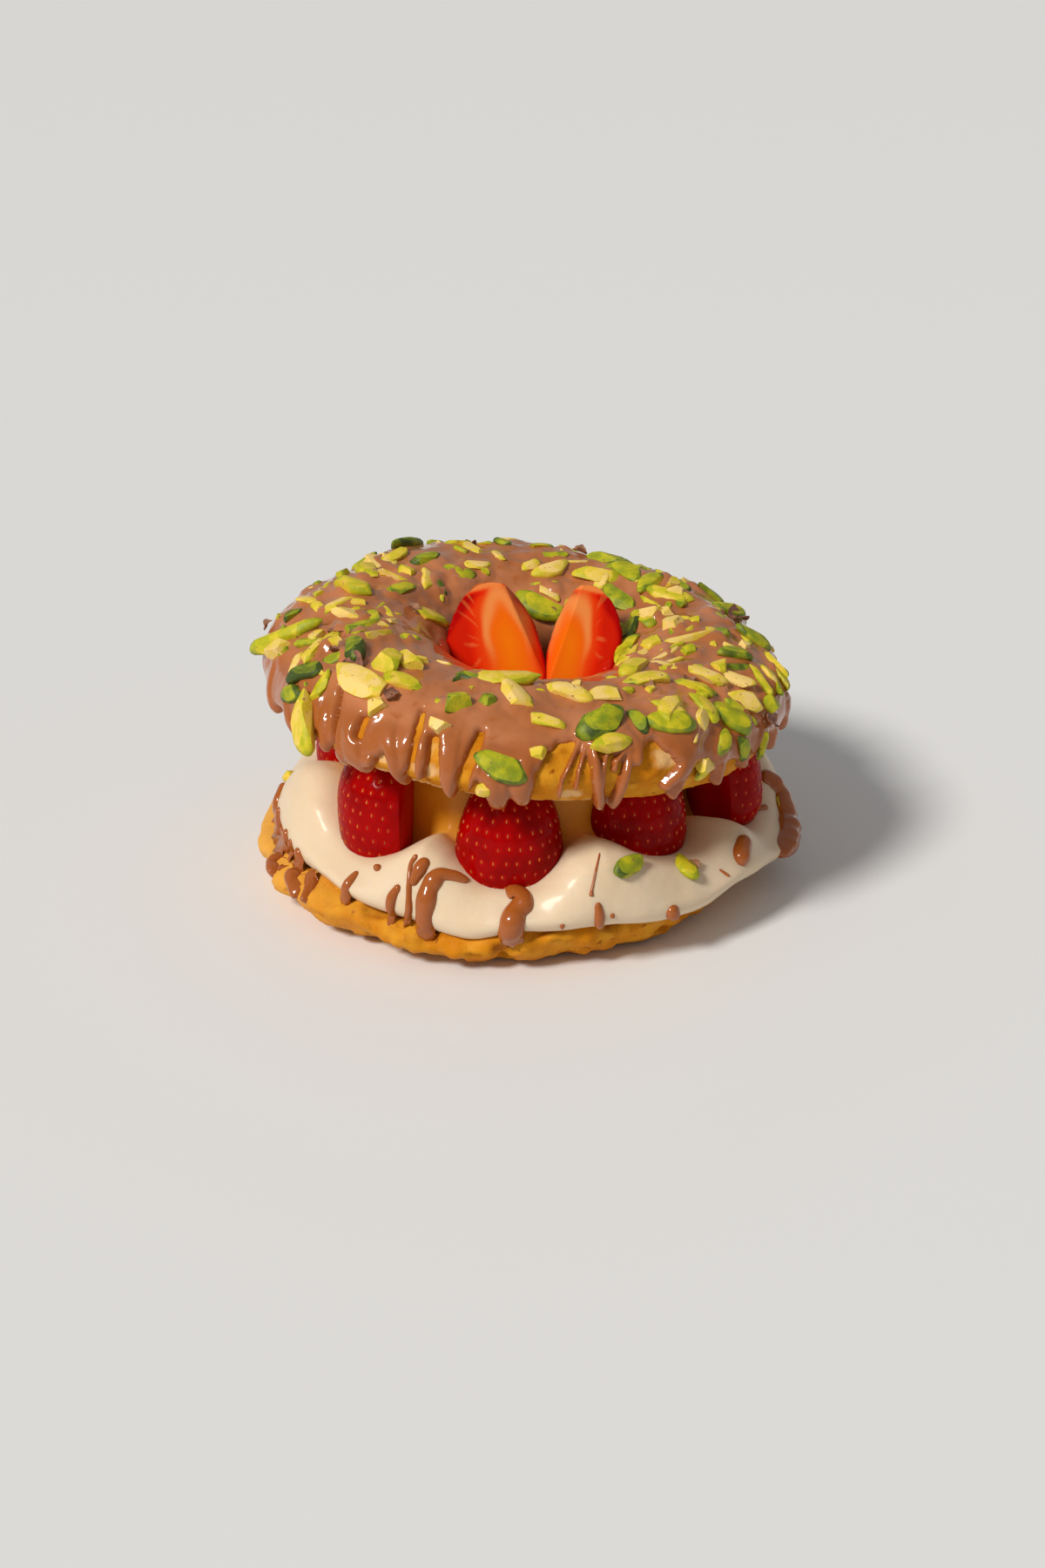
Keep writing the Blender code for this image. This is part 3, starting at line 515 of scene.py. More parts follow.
def berry_width(height, width, narrowing, shoulder=0.0, fullness=2.0):
    """Radius of a berry at a share of its height, from the calyx end, 0, to the tip, 1."""
    taper = 1.0 - narrowing * np.maximum(0.0, height - 0.3) ** 1.3
    taper = taper - shoulder * np.maximum(0.0, 0.35 - height)
    away = np.clip(np.abs(2.0 * height - 1.0), 0.0, 1.0)
    return 0.5 * width * (1.0 - away ** fullness) ** (1.0 / fullness) * taper


def seed_places(length, shape, draw, skip):
    """Heights and turns of a berry's seeds, in staggered rows, but none where skip says so."""
    places = []
    rows = round(1.15 * length / SEED_SPACING)
    for row in range(1, rows):
        height = 0.5 - 0.5 * math.cos(math.pi * row / rows)
        count = max(3, round(2.0 * math.pi * float(shape(height)) / (1.12 * SEED_SPACING)))
        for spot in range(count):
            step = spot + 0.5 * (row % 2) + draw.uniform(-SEED_STRAY, SEED_STRAY)
            turn = 2.0 * math.pi * step / count
            where = height + draw.uniform(-0.012, 0.012)
            if not skip(where, turn):
                places.append((where, turn))
    return places


def seed_mesh(points, out, along):
    """Small pips at points, each pointing along the berry."""
    rows, sides = 7, 8
    rise = np.linspace(-0.5 * np.pi, 0.5 * np.pi, rows)[:, None]
    turn = np.linspace(0.0, 2.0 * np.pi, sides, endpoint=False)[None]
    half = 0.5 * np.cos(rise) * (1.0 - 0.3 * np.sin(rise))
    pip = np.stack(np.broadcast_arrays(
        0.5 * SEED_SIZE[0] * np.sin(rise), SEED_SIZE[1] * half * np.cos(turn),
        SEED_SIZE[2] * half * np.sin(turn)), -1)
    axes = np.stack((along, np.cross(out, along), out), axis=1)
    places = points[:, None, None] + np.einsum("rsk,nkx->nrsx", pip, axes)
    one = grid_faces(rows, sides, ring=False)
    faces = [one + rows * sides * number for number in range(len(points))]
    return places.reshape(-1, 3), np.concatenate(faces)


def seed_stance(pips, length):
    """Where the seeds of an upright berry sit, and the directions out of it and up along it."""
    out = unit(pips - np.array((0.0, 0.0, 0.5 * length)))
    up = np.array((0.0, 0.0, 1.0))
    return pips - SEED_SINK * out, out, unit(up - out * (out @ up)[:, None])


def berry_grid(length, width, narrowing, turns, seeds, planes, shoulder=0.0, fullness=2.0,
               axis=(0.0, 0.0)):
    """A berry on its calyx end with dimples, cut by planes that face away from the axis point.

    A plane is a point and the direction outwards; places beyond it are drawn back to it along
    the line to the axis. Gives the grid, the flesh mask, how far each place is from the heart,
    the dimples, and the places of the seeds on the skin.
    """
    height = 0.5 - (0.5 - POLE_ROOM) * np.cos(np.linspace(0.0, np.pi, BERRY_ROWS))
    radius = berry_width(height, width, narrowing, shoulder, fullness)
    grid = np.stack(np.broadcast_arrays(
        radius[:, None] * np.cos(turns), radius[:, None] * np.sin(turns),
        (height * length)[:, None]), -1)
    swell = 1.0 + 0.05 * wrinkle(grid, 0.55 * width)
    grid[..., :2] *= swell[..., None]
    high, turn = np.array(seeds).T
    around = berry_width(high, width, narrowing, shoulder, fullness)
    pips = np.stack((around * np.cos(turn), around * np.sin(turn), high * length), -1)
    pips[:, :2] *= (1.0 + 0.05 * wrinkle(pips, 0.55 * width))[:, None]
    near = np.min(np.linalg.norm(grid[:, :, None] - pips[None, None], axis=-1), axis=2)
    dimple = np.exp(-(near / DIMPLE_RADIUS) ** 2)
    out = unit(grid - np.array((0.0, 0.0, 0.5 * length)))
    grid = grid - out * (DIMPLE_DEPTH * dimple)[..., None]
    skin = np.maximum(radius[:, None], 1e-9)
    heart = np.linalg.norm(grid[..., :2], axis=-1) / skin
    flesh = np.zeros(grid.shape[:2])
    centre = np.stack(np.broadcast_arrays(axis[0], axis[1], grid[..., 2]), -1)
    for point, way in planes:
        reach = (grid - centre) @ np.array(way)
        room = (np.array(point) - centre) @ np.array(way)
        share = np.where(reach > room, room / np.maximum(reach, 1e-9), 1.0)
        grid = centre + (grid - centre) * share[..., None]
        flesh = np.where(share < 1.0, 1.0, flesh)
        heart = np.where(share < 1.0, np.linalg.norm(grid[..., :2], axis=-1) / skin, heart)
    return grid, flesh, np.clip(heart, 0.0, 1.0), dimple * (1.0 - flesh), pips


# The halves stand under the lid, so their skin gets a quarter of painted shade.
shaded_berry_skin = strawberry_material("strawberry_skin_shaded", 0.25)
seed_material, tree, shader = new_material("strawberry_seed", 0.4, coat_weight=0.3)
feed(tree, shader.inputs["Base Color"],
     mixed(tree, blotches(tree, 4.0), SEED_GOLD, SEED_BROWN))
draw = random.Random(5)
pip_points, pip_out, pip_along = [], [], []
turns = np.radians(np.concatenate((np.linspace(-196, 16, 120), np.linspace(24, 156, 16))))
for number, (around, ring, width, low, turn, narrowing, _) in enumerate(BERRIES, 1):
    length = lid_underside(on_ring(ring * MM, around)) - GAP - low * MM - BERRY_CLEARANCE
    width *= MM
    seeds = seed_places(length, lambda h: berry_width(h, width, narrowing, 0.0, BERRY_FULLNESS),
                        draw, lambda h, t: math.sin(t) > 0.2)
    grid, flesh, heart, dimple, pips = berry_grid(
        length, width, narrowing, turns, seeds,
        [((0.0, CUT_FACE * width, 0.0), (0.0, 1.0, 0.0))], fullness=BERRY_FULLNESS)
    spin = math.radians(around + turn)
    turned = np.array(((math.cos(spin), -math.sin(spin), 0), (math.sin(spin), math.cos(spin), 0),
                       (0, 0, 1)))
    foot = on_ring(ring * MM, around, low * MM)
    sunk, out, along = seed_stance(pips, length)
    pip_points.append(sunk @ turned.T + foot)
    pip_out.append(out @ turned.T)
    pip_along.append(along @ turned.T)
    made = mesh_object(f"strawberry_half_{number}", grid @ turned.T + foot,
                       grid_faces(*grid.shape[:2], ring=False)[:, ::-1],
                       {"flesh": flesh, "heart": 0.66 + 0.34 * heart, "dimple": dimple,
                        "streak": np.zeros_like(heart)})
    finish_piece(made, shaded_berry_skin, "strawberry", f"berry_{number}")
pips, faces = seed_mesh(*map(np.concatenate, (pip_points, pip_out, pip_along)))
finish_piece(mesh_object("strawberry_seeds", pips, faces), seed_material)


# ---- the choux lid ----------------------------------------------------------------------------
# The upper half of the ring, puffed up and craggy, laid on the cream and the berries, a little
# lower at the right. Its cut underside is pale, open crumb; the crust is golden brown.

LID_RADIUS = 72.0 * MM
LID_CREST = 47.5 * MM               # radius of the crown's highest line
LID_CROWN = 24.5 * MM               # mean height of the crown over the cut
LID_CROWN_RISE = 2.5 * MM           # it is puffed up this much more at one bearing
LID_CROWN_BEARING = -150.0
LID_SLUMP_BEARING = 128.0           # and has slumped at another, where it is narrower too
LID_SLUMP_SPREAD = 42.0
LID_SLUMP = 3.0 * MM
LID_WAIST = 8.0 * MM                # height of the widest level
LID_HOLE = 24.5 * MM
LID_HOLE_SHIFT = 2.0 * MM           # the hole lies a little to the right
LID_LOW_SWEEP = 25.0                # degrees that the side curls in under the widest level
LID_EDGE_RISE = (                   # how far its outer edge curls up: bearing and millimetres
    (-180, 1.5), (-125, 3.0), (-90, 4.0), (-65, 5.0), (-45, 5.6), (-28, 4.8), (-15, 3.8), (-3, 3.0),
    (15, 2.3), (32, 1.3), (48, 0.2), (80, 0.0), (130, 1.2),
)
LID_HOLE_SWEEP = 20.0
TORN_CRUMB = (                      # torn patches: bearing, climb, degrees wide and climb tall
    (31, 0.19, 4.0, 0.05), (-21, 0.12, 3.6, 0.04), (9, 0.05, 3.0, 0.03), (-31, 0.14, 3.4, 0.04),
)
CRUST_POINTS = 74                   # points over the crust, and across the cut underside
CUT_POINTS = 22
LID_TURN = np.array(((math.cos(LID_TILT), 0.0, math.sin(LID_TILT)), (0.0, 1.0, 0.0),
                     (-math.sin(LID_TILT), 0.0, math.cos(LID_TILT))))


def seated(places):
    """Places in the lid's own frame, whose cut is z = 0, as places of the cake."""
    return places @ LID_TURN.T + LID_SEAT


def lid_crust(bearing, climb):
    """Places on the lid's crust, in the lid's frame."""
    bearing, climb = np.broadcast_arrays(bearing, climb)
    sweep = np.radians(-LID_LOW_SWEEP + climb * (180.0 + LID_LOW_SWEEP + LID_HOLE_SWEEP))
    across, rise = np.cos(sweep), np.sin(sweep)
    hole = LID_HOLE + LID_HOLE_SHIFT * np.sin(np.radians(bearing))
    slump = LID_SLUMP * swelling(bearing, LID_SLUMP_BEARING, LID_SLUMP_SPREAD)
    puff = np.cos(np.radians(bearing - LID_CROWN_BEARING))
    crown = LID_CROWN + LID_CROWN_RISE * puff - slump
    width = np.where(across > 0.0, LID_RADIUS - slump - LID_CREST, LID_CREST - hole)
    low = LID_WAIST / math.sin(math.radians(LID_LOW_SWEEP))
    height = np.where(rise > 0.0, crown - LID_WAIST, low)
    place = on_ring(LID_CREST + width * across, bearing, LID_WAIST + height * rise)
    curl = np.where(across > 0.0, read_curve(LID_EDGE_RISE, bearing) * MM, 0.0)
    place[..., 2] += curl * np.maximum(0.0, 1.0 - place[..., 2] / LID_WAIST)
    swell = 2.0 * MM * wrinkle(place, 26 * MM) + 0.8 * MM * wrinkle(place, 11 * MM)
    fade = np.clip(place[..., 2] / LID_WAIST, 0.0, 1.0)
    return place + (fade * swell)[..., None] * (unit(place) + (0.0, 0.0, 0.5))


def lid_frame(bearing, climb, lift=0.0):
    """Places over the crust, the directions out of it, up the crown and round the ring."""
    up = lid_crust(bearing, climb + 0.012) - lid_crust(bearing, climb - 0.012)
    along = lid_crust(bearing + 1.0, climb) - lid_crust(bearing - 1.0, climb)
    out = unit(np.cross(along, up))
    place = lid_crust(bearing, climb) + np.asarray(lift)[..., None] * out
    return place, out, unit(up), unit(along)


bearing = np.arange(-180.0, 180.0, CRUST_STEP)
climb = np.linspace(0.0, 1.0, CRUST_POINTS)
crust = lid_crust(bearing[:, None], climb)
share = np.linspace(0.0, 1.0, CUT_POINTS + 2)[1:-1, None]
cut = crust[:, -1, None] * (1.0 - share) + crust[:, 0, None] * share
cut[..., 2] = crust[:, 0, None, 2] * share[..., 0] ** 12
grid = np.concatenate((crust, cut), axis=1)

# The open side is folded and browned like the base; the cut and the torn patches are open crumb.
side = np.concatenate((ease((0.62 - climb) / 0.2), np.zeros(CUT_POINTS)))
folds = 1.0 - 2.2 * np.abs(wrinkle(grid * (1.0, 1.0, 1.4), 7.0 * MM))
raised = 0.5 * folds + 0.5 * wrinkle(grid, 2.6 * MM)
pores = np.minimum(0.0, wrinkle(grid, 1.9 * MM) - 0.1)
torn = np.max([swelling(bearing[:, None], where, wide) * np.exp(-((climb - high) / tall) ** 2)
               for where, high, wide, tall in TORN_CRUMB], axis=0)
crumb = ease(2.2 * torn - 0.6 + 0.5 * wrinkle(crust, 2.0 * MM))
crumb = np.concatenate((crumb, np.ones((len(bearing), CUT_POINTS))), axis=1)
depth = side * (0.55 * raised + 0.12 * wrinkle(grid, 1.2 * MM)) + crumb * 1.2 * pores
grid = grid + outwards(grid) * (depth * MM)[..., None]
choux_lid = mesh_object("choux_lid_crust", seated(grid), grid_faces(*grid.shape[:2]),
                        {"raised": raised * side, "crumb": crumb, "pale": np.zeros_like(crumb)})
finish_piece(choux_lid, baked_choux, "choux", "choux_lid")


# ---- the milk chocolate -----------------------------------------------------------------------
# Melted milk chocolate poured over the lid: a smooth sheet over the crown and down to the hole,
# which breaks up at the side into drips with swollen tips and bare strips of choux between them.

COAT_THICKNESS = 1.6 * MM
COAT_INNER_EDGE = 0.97              # climb at which the coat ends in the hole
COAT_EDGE = (                       # where the sheet ends: bearing and climb
    (-180, 0.16), (-150, 0.10), (-120, 0.18), (-95, 0.10), (-80, 0.10), (-72, 0.06), (-66, 0.11),
    (-61, 0.06), (-57, 0.12), (-50, 0.13), (-46.5, 0.10), (-45, 0.11), (-42.5, 0.09),
    (-40, 0.05), (-38.5, 0.08), (-36, 0.03), (-34, 0.06), (-32.5, 0.13), (-30, 0.17),
    (-28, 0.14), (-26.5, 0.05), (-24, 0.12), (-22, 0.115), (-20, 0.15), (-17.8, 0.10),
    (-15.5, 0.05), (-13.5, 0.09), (-10, 0.12), (-8.5, 0.05), (-6, 0.01), (-3, 0.03), (0, 0.05),
    (1.4, 0.10), (2.4, 0.17), (4.6, 0.25), (7, 0.285), (11, 0.295), (13, 0.262), (16, 0.255),
    (18, 0.232), (21.5, 0.228), (24.5, 0.235), (28, 0.26), (31, 0.21), (32.6, 0.15), (34, 0.07),
    (35.5, 0.08), (37, 0.13), (40, 0.13), (42.5, 0.08), (45, 0.05), (48, 0.09), (53, 0.07),
    (58, 0.06), (62, 0.07), (64, 0.10), (70, 0.07), (85, 0.12), (97, 0.07), (110, 0.10),
    (135, 0.17), (158, 0.10),
)
DRIPS = (                           # points of each: bearing, climb and width in mm
    ((-78, 0.26, 3.0), (-73, 0.03, 3.4)), ((-65, 0.26, 3.0), (-60, 0.03, 3.6)),
    ((-56, 0.26, 2.4), (-53, 0.06, 2.6)), ((-50, 0.27, 2.6), (-46.4, 0.09, 3.0)),
    ((-49, 0.32, 5.0), (-44, 0.20, 5.4), (-40.6, 0.04, 4.6)),
    ((-42, 0.30, 6.0), (-38.5, 0.14, 6.0), (-36.0, 0.0, 3.6)),
    ((-36.5, 0.06, 2.6), (-33.5, 0.11, 2.6)),
    ((-33, 0.32, 4.6), (-28.4, 0.14, 3.8), (-26, -0.02, 2.6)),
    ((-25, 0.32, 5.2), (-22.6, 0.18, 4.6), (-22, 0.11, 3.0)),
    ((-17.8, 0.33, 7.0), (-16.4, 0.16, 6.0), (-15.2, 0.03, 4.6)),
    ((-9.0, 0.21, 2.0), (-11.2, 0.10, 2.0), (-11.8, 0.05, 1.8)),
    ((-6, 0.25, 7.0), (-5.6, 0.0, 5.6)), ((-1, 0.25, 7.0), (-0.6, 0.05, 5.0)),
    ((12, 0.30, 1.6), (9.4, 0.22, 1.3), (7.2, 0.14, 1.2), (6.8, 0.06, 1.3)),
    ((12.8, 0.28, 1.2), (10.6, 0.17, 1.1), (10, 0.10, 1.3)),
    ((13.8, 0.27, 2.6), (14.2, 0.15, 3.0), (16, 0.0, 3.4)),
    ((17, 0.25, 1.3), (15.8, 0.18, 1.2), (15.4, 0.12, 1.4)),
    ((22.2, 0.24, 2.6), (20.2, 0.13, 3.2), (19, 0.0, 3.2)),
    ((20.6, 0.235, 1.4), (18.4, 0.20, 1.6), (18.0, 0.17, 1.5)),
    ((24.6, 0.28, 3.2), (23.4, 0.20, 3.6)),
    ((35, 0.14, 4.0), (30, 0.07, 3.0)), ((34, 0.07, 3.2), (33, 0.01, 3.0)),
    ((45, 0.11, 3.6), (45, 0.03, 3.2)), ((54, 0.10, 3.4), (54, 0.05, 3.2)),
    ((68, 0.12, 4.0), (68, 0.04, 3.8)),
)
SLOTS = (                           # bare strips between the drips, given in the same way
    ((-48, 0.315, 0.5), (-44.4, 0.22, 1.6), (-43.2, 0.10, 2.2), (-43, -0.05, 2.6)),
    ((-37.6, 0.25, 1.8), (-37.4, 0.19, 2.0)),
    ((-25.4, 0.335, 1.2), (-24.4, 0.27, 2.0), (-23.8, 0.19, 1.6), (-24.0, 0.10, 2.0),
     (-24.2, -0.05, 3.0)),
    ((-20.2, 0.25, 2.2), (-19.2, 0.15, 2.8), (-18.8, -0.05, 3.6)),
    ((-10.6, 0.30, 1.8), (-11.2, 0.23, 2.6), (-12.8, 0.11, 2.6), (-13.2, -0.05, 3.0)),
)
BACK_DRIPS = 11                     # the drips of the side that faces away, by a rule
NUT_SEED = 11
BLEND = 0.55 * MM                   # how softly drips run together
FAR = 9 * MM                        # no place counts as further than this from the coat's edge
SKIRT = 1.1 * MM                    # how deep the coat's edge dives into the crust
MILK_CHOCOLATE = (0.43, 0.135, 0.036)
PALE_CHOCOLATE = (0.56, 0.20, 0.080)
WARM_CHOCOLATE = (0.42, 0.105, 0.015)
# darker chocolate where the coat is thin, also used as painted shade down the lid's side
THIN_AND_SHADED_CHOCOLATE = (0.36, 0.088, 0.010)

drips = list(DRIPS)
draw = random.Random(NUT_SEED + 1)
for spot in range(BACK_DRIPS):
    where = 78.0 + (spot + draw.uniform(-0.25, 0.25)) * 200.0 / BACK_DRIPS
    tip, width = draw.uniform(0.0, 0.06), draw.uniform(3.4, 6.0)
    start = float(read_curve(COAT_EDGE, where)) + 0.08
    drips.append(((where, start, width), (where, tip + 0.02, width)))

# The grid of the coat is fine in front and coarser at the back. Reach is how far a place lies
# inside the edge of the sheet, and is below 0 outside it.
bearing = np.concatenate((np.arange(-100.0, 110.0, 0.45), np.arange(110.0, 260.0, 1.0)))
climb = np.concatenate((np.arange(-0.045, 0.44, 0.0055), np.linspace(0.44, COAT_INNER_EDGE, 48)))
crust = lid_crust(bearing[:, None], climb)
out = outwards(crust, tube=False)
edge_bearing = np.arange(-180.0, 180.0, 0.25)
edge = lid_crust(edge_bearing, read_curve(COAT_EDGE, edge_bearing))
finder = kdtree.KDTree(len(edge))
for number, place in enumerate(edge.tolist()):
    finder.insert(place, number)
finder.balance()
inside = climb > read_curve(COAT_EDGE, bearing)[:, None]
reach = np.array([finder.find(place)[2] for place in crust.reshape(-1, 3).tolist()])
reach = reach.reshape(inside.shape) * np.where(inside, 1.0, -1.0)
reach = reach + 0.35 * MM * wrinkle(crust, 3.5 * MM)


def strip_area(points):
    """The part of the coat's grid that a strip can touch."""
    bearings, climbs, _ = np.array(points, float).T
    near = angle_between(bearing, bearings.mean()) < 8.0 + np.ptp(bearings)
    return np.ix_(near, climb < climbs.max() + 0.08)


def along_path(points, places):
    """How deep places lie in a round-ended strip on the crust, where along it, its half width."""
    run = np.linspace(0.0, 1.0, 9 * len(points))
    spots = np.linspace(0.0, 1.0, len(points))
    where, high, wide = (np.interp(run, spots, column) for column in np.array(points, float).T)
    path = lid_crust(where, high)
    half = 0.5 * wide * MM
    depth = half - np.linalg.norm(places[:, :, None] - path, axis=-1)
    nearest = np.argmax(depth, axis=2)
    return np.max(depth, axis=2), run[nearest], half[nearest]


# Each drip flows softly into the sheet and is domed, most of all at its swollen tip.
union = np.exp(np.clip(reach, -FAR, FAR) / BLEND)
dome = np.zeros(inside.shape)
for points in drips:
    area = strip_area(points)
    depth, run, half = along_path(points, crust[area])
    union[area] += np.exp(np.clip(depth, -FAR, FAR) / BLEND)
    across = np.clip(depth / half, 0.0, 1.0)
    lift = (0.30 * half + 0.25 * MM) * ease(run / 0.45 + 0.1)
    lift = lift * (1.0 + 0.45 * np.exp(-((run - 0.95) / 0.14) ** 2))
    dome[area] = np.maximum(dome[area], lift * np.sqrt(1.0 - (1.0 - across) ** 2))
reach = BLEND * np.log(union)
for points in SLOTS:
    area = strip_area(points)
    depth, _, _ = along_path(points, crust[area])
    reach[area] = -BLEND * np.log(np.exp(-reach[area] / BLEND) + np.exp(depth / BLEND))

# The sheet has a round edge, soft waves all over, and swirled folds on the crown.
round_edge = np.clip(reach / (1.7 * MM), 0.0, 1.0)
thick = (GAP + COAT_THICKNESS) * np.sqrt(1.0 - (1.0 - round_edge) ** 2) + dome
waves = 0.40 * wrinkle(crust, 12 * MM) + 0.16 * wrinkle(crust * (1.0, 1.0, 0.7), 5 * MM)
waves = waves + 0.10 * wrinkle(crust, 2.4 * MM)
across = np.linalg.norm(crust, axis=-1) + 2.5 * MM * wrinkle(crust, 15 * MM)
swirl = np.stack(np.broadcast_arrays(across, 0.012 * np.radians(bearing[:, None]), 0.0), -1)
folds = (1.0 - 3.0 * np.abs(wrinkle(swirl, 4.2 * MM))) * ease((climb - 0.34) / 0.2)
folds = folds * ease((0.80 - climb) / 0.12)
waves = waves + 0.8 * np.maximum(folds, -0.3) * (0.6 + 0.9 * wrinkle(crust, 17 * MM))
thick = thick + ease(reach / (3.0 * MM)) * waves * MM
thick = np.where(reach < 0.0, np.maximum(-SKIRT, 1.6 * reach), thick)


# ---- the pistachios ---------------------------------------------------------------------------
# Pistachios broken by hand and scattered on the wet chocolate: whole kernels, slices, slivers and
# chunks, green outside, yellow where they broke, with scraps of their purplish brown skin.

NUT_FORMS = {                       # width and height as shares of the length
    "kernel": (0.54, 0.36), "slice": (0.48, 0.28), "sliver": (0.28, 0.22), "chunk": (0.80, 0.60),
    "skin": (0.75, 0.10),
}

# The pistachios that were placed one by one: bearing, climb, heading (degrees from straight up the
# lid, positive towards the right), length in mm, and ripeness from 0, yellow, to 1, dark green.
NUTS = {
    "kernel": (
        (-61, 0.29, 50, 11, 0.9), (17, 0.33, 59, 13.0, 0.75), (33, 0.30, -72, 12.0, 0.55),
        (-5, 0.18, -72, 12.5, 0.7), (52, 0.25, -29, 11, 0.6), (92, 0.34, 7, 10, 0.7),
        (131, 0.53, -18, 11, 0.6), (143, 0.53, -86, 11.5, 0.65), (134, 0.64, -80, 11, 0.75),
        (153, 0.46, -77, 12, 0.7), (-56, 0.43, -65, 11, 0.8), (-98, 0.50, 34, 11.5, 0.35),
        (126, 0.47, 60, 8.5, 0.8), (-138, 0.55, -77, 9.5, 0.8), (49, 0.40, -23, 10, 0.35),
        (-172, 0.45, -27, 6.5, 0.8), (108, 0.71, -48, 10, 0.85), (-61, 0.21, 64, 9, 0.75),
        (26, 0.33, -13, 7, 0.8), (-91, 0.32, -32, 5.5, 0.9), (-129, 0.66, 20, 6.0, 0.95),
        (46, 0.18, 40, 6.5, 0.55), (52, 0.13, -20, 7.0, 0.75),
    ),
    "slice": (
        (-53, 0.15, -30, 13.5, 0.3), (-44, 0.35, -89, 14, 0.12), (-8, 0.53, 75, 13.5, 0.3),
        (-4, 0.45, -31, 10, 0.15), (12, 0.48, -46, 10.5, 0.1), (4, 0.35, -71, 8, 0.25),
        (18, 0.26, 76, 8.7, 0.3), (-116, 0.55, -24, 8, 0.1), (-131, 0.46, 85, 9.2, 0.35),
        (-115, 0.48, 50, 11, 0.25), (-102, 0.71, -39, 9, 0.3), (46, 0.32, -5, 8, 0.35),
        (57, 0.42, -1, 10, 0.1), (38, 0.48, -69, 10, 0.3), (43, 0.57, 72, 11, 0.3),
        (65, 0.68, -68, 9.5, 0.2), (120, 0.52, 48, 10.5, 0.35), (-156, 0.62, -82, 6.5, 0.1),
        (-34, 0.40, 83, 9.0, 0.35), (85, 0.25, 59, 8.5, 0.35), (63, 0.34, -20, 7.5, 0.1),
        (-157, 0.45, 88, 7.6, 0.3), (-159, 0.51, -21, 6.5, 0.2), (180, 0.61, 44, 6, 0.25),
        (170, 0.61, 42, 9.5, 0.1), (-96, 0.36, 35, 6.0, 0.1), (35, 0.35, -42, 7, 0.25),
        (60, 0.09, 39, 6.0, 0.6), (40, 0.09, 60, 5.5, 0.4), (171, 0.78, -72, 12.5, 0.6),
        (169, 0.72, -60, 6.5, 0.02), (-17, 0.51, 82, 8.0, 0.8), (72, 0.70, 80, 9.5, 0.1),
        (22, 0.45, -84, 8.5, 0.15),
    ),
    "sliver": (
        (-82, 0.28, 27, 21, 0.5), (-73, 0.44, 38, 11.6, 0.4), (-70, 0.36, 47, 11, 0.7),
        (80, 0.53, -36, 15, 0.2), (80, 0.43, 35, 8.5, 0.2), (67, 0.39, -48, 11, 0.9),
        (172, 0.52, 80, 9, 0.7), (-18, 0.51, 56, 10.5, 0.95), (74, 0.24, 63, 9, 0.7),
        (70, 0.29, 34, 10.5, 0.45), (103, 0.44, 75, 8, 0.8), (121, 0.46, 71, 8, 0.5),
        (162, 0.54, 61, 6.5, 0.15), (-128, 0.66, 30, 8, 0.5), (-148, 0.34, 60, 8, 0.6),
    ),
    "chunk": (
        (-78, 0.26, 62, 7.0, 0.15), (-43, 0.45, -23, 8.0, 0.35), (-40, 0.48, -69, 7.0, 0.25),
        (-20, 0.29, -71, 5.0, 0.05), (-18, 0.38, 49, 6.5, 0.6), (94, 0.59, 24, 5.8, 0.1),
        (-73, 0.37, -31, 5.0, 0.2), (-36, 0.30, 40, 5.0, 0.2), (-11, 0.42, -65, 4.2, 0.8),
        (70, 0.51, -43, 4.5, 0.6), (66, 0.21, -15, 5.0, 0.7), (-8, 0.09, 89, 4.0, 0.2),
        (40, 0.12, 88, 5.5, 0.2), (2, 0.23, -89, 4.0, 0.3), (128, 0.46, 44, 4.5, 0.6),
        (-66, 0.33, 10, 4.0, 0.3), (14, 0.19, 20, 2.6, 0.4), (-86, 0.44, 0, 4.0, 0.3),
    ),
    "skin": (
        (-72, 0.43, 30, 8.0, 0.2), (-64, 0.47, 70, 6.5, 0.3), (-50, 0.39, 85, 9.0, 0.0),
        (-60, 0.40, 70, 7.0, 0.1), (-96, 0.66, 20, 6.0, 0.2), (64, 0.16, -50, 7.5, 0.0),
        (108, 0.33, -29, 10, 0.1), (50, 0.43, 60, 6.0, 0.2), (-34, 0.35, 20, 6.0, 0.1),
        (164, 0.44, 89, 6.0, 0.2), (-160, 0.47, 60, 6.0, 0.1), (36, 0.45, -20, 5.0, 0.3),
        (-95, 0.22, 0, 5.0, 0.2),
    ),
}
# How much larger or smaller than the lengths above each kind is made.
NUT_SCALE = {"kernel": 1.22, "slice": 1.46, "sliver": 1.26, "chunk": 1.4, "skin": 0.75}
BACK_NUTS = 9                       # kernels low on the side that faces away, by a rule
CRUMBS = (                          # smaller pieces: bearings, climbs, how many and longest, mm
    ((-112, -52), (0.24, 0.62), 34, 7.0), ((46, 118), (0.20, 0.62), 36, 7.0),
    ((-40, 34), (0.36, 0.62), 16, 6.5), ((-175, -112), (0.25, 0.75), 16, 7.0),
    ((118, 182), (0.25, 0.75), 22, 7.0), ((-128, -84), (0.38, 0.62), 12, 10.0),
    ((-82, -56), (0.34, 0.56), 12, 10.0), ((60, 92), (0.36, 0.74), 14, 11.0),
    ((100, 150), (0.42, 0.66), 14, 11.0), ((34, 62), (0.22, 0.5), 9, 9.0),
)
CRUMB_KINDS = "slice", "slice", "sliver", "chunk"
BREAK_ANGLE = math.radians(38.0)    # sharper edges than this stay sharp
NUT_COLOURS = (                     # from yellow flesh to dark green
    (0.0, (0.92, 0.64, 0.20)), (0.22, (0.84, 0.60, 0.050)), (0.42, (0.62, 0.54, 0.010)),
    (0.62, (0.40, 0.41, 0.006)), (0.82, (0.20, 0.26, 0.008)), (1.0, (0.05, 0.08, 0.008)),
)
NUT_SPECKS = (0.28, 0.13, 0.05)
SKIN_PURPLE = (0.36, 0.15, 0.09)
SKIN_DARK = (0.16, 0.06, 0.045)
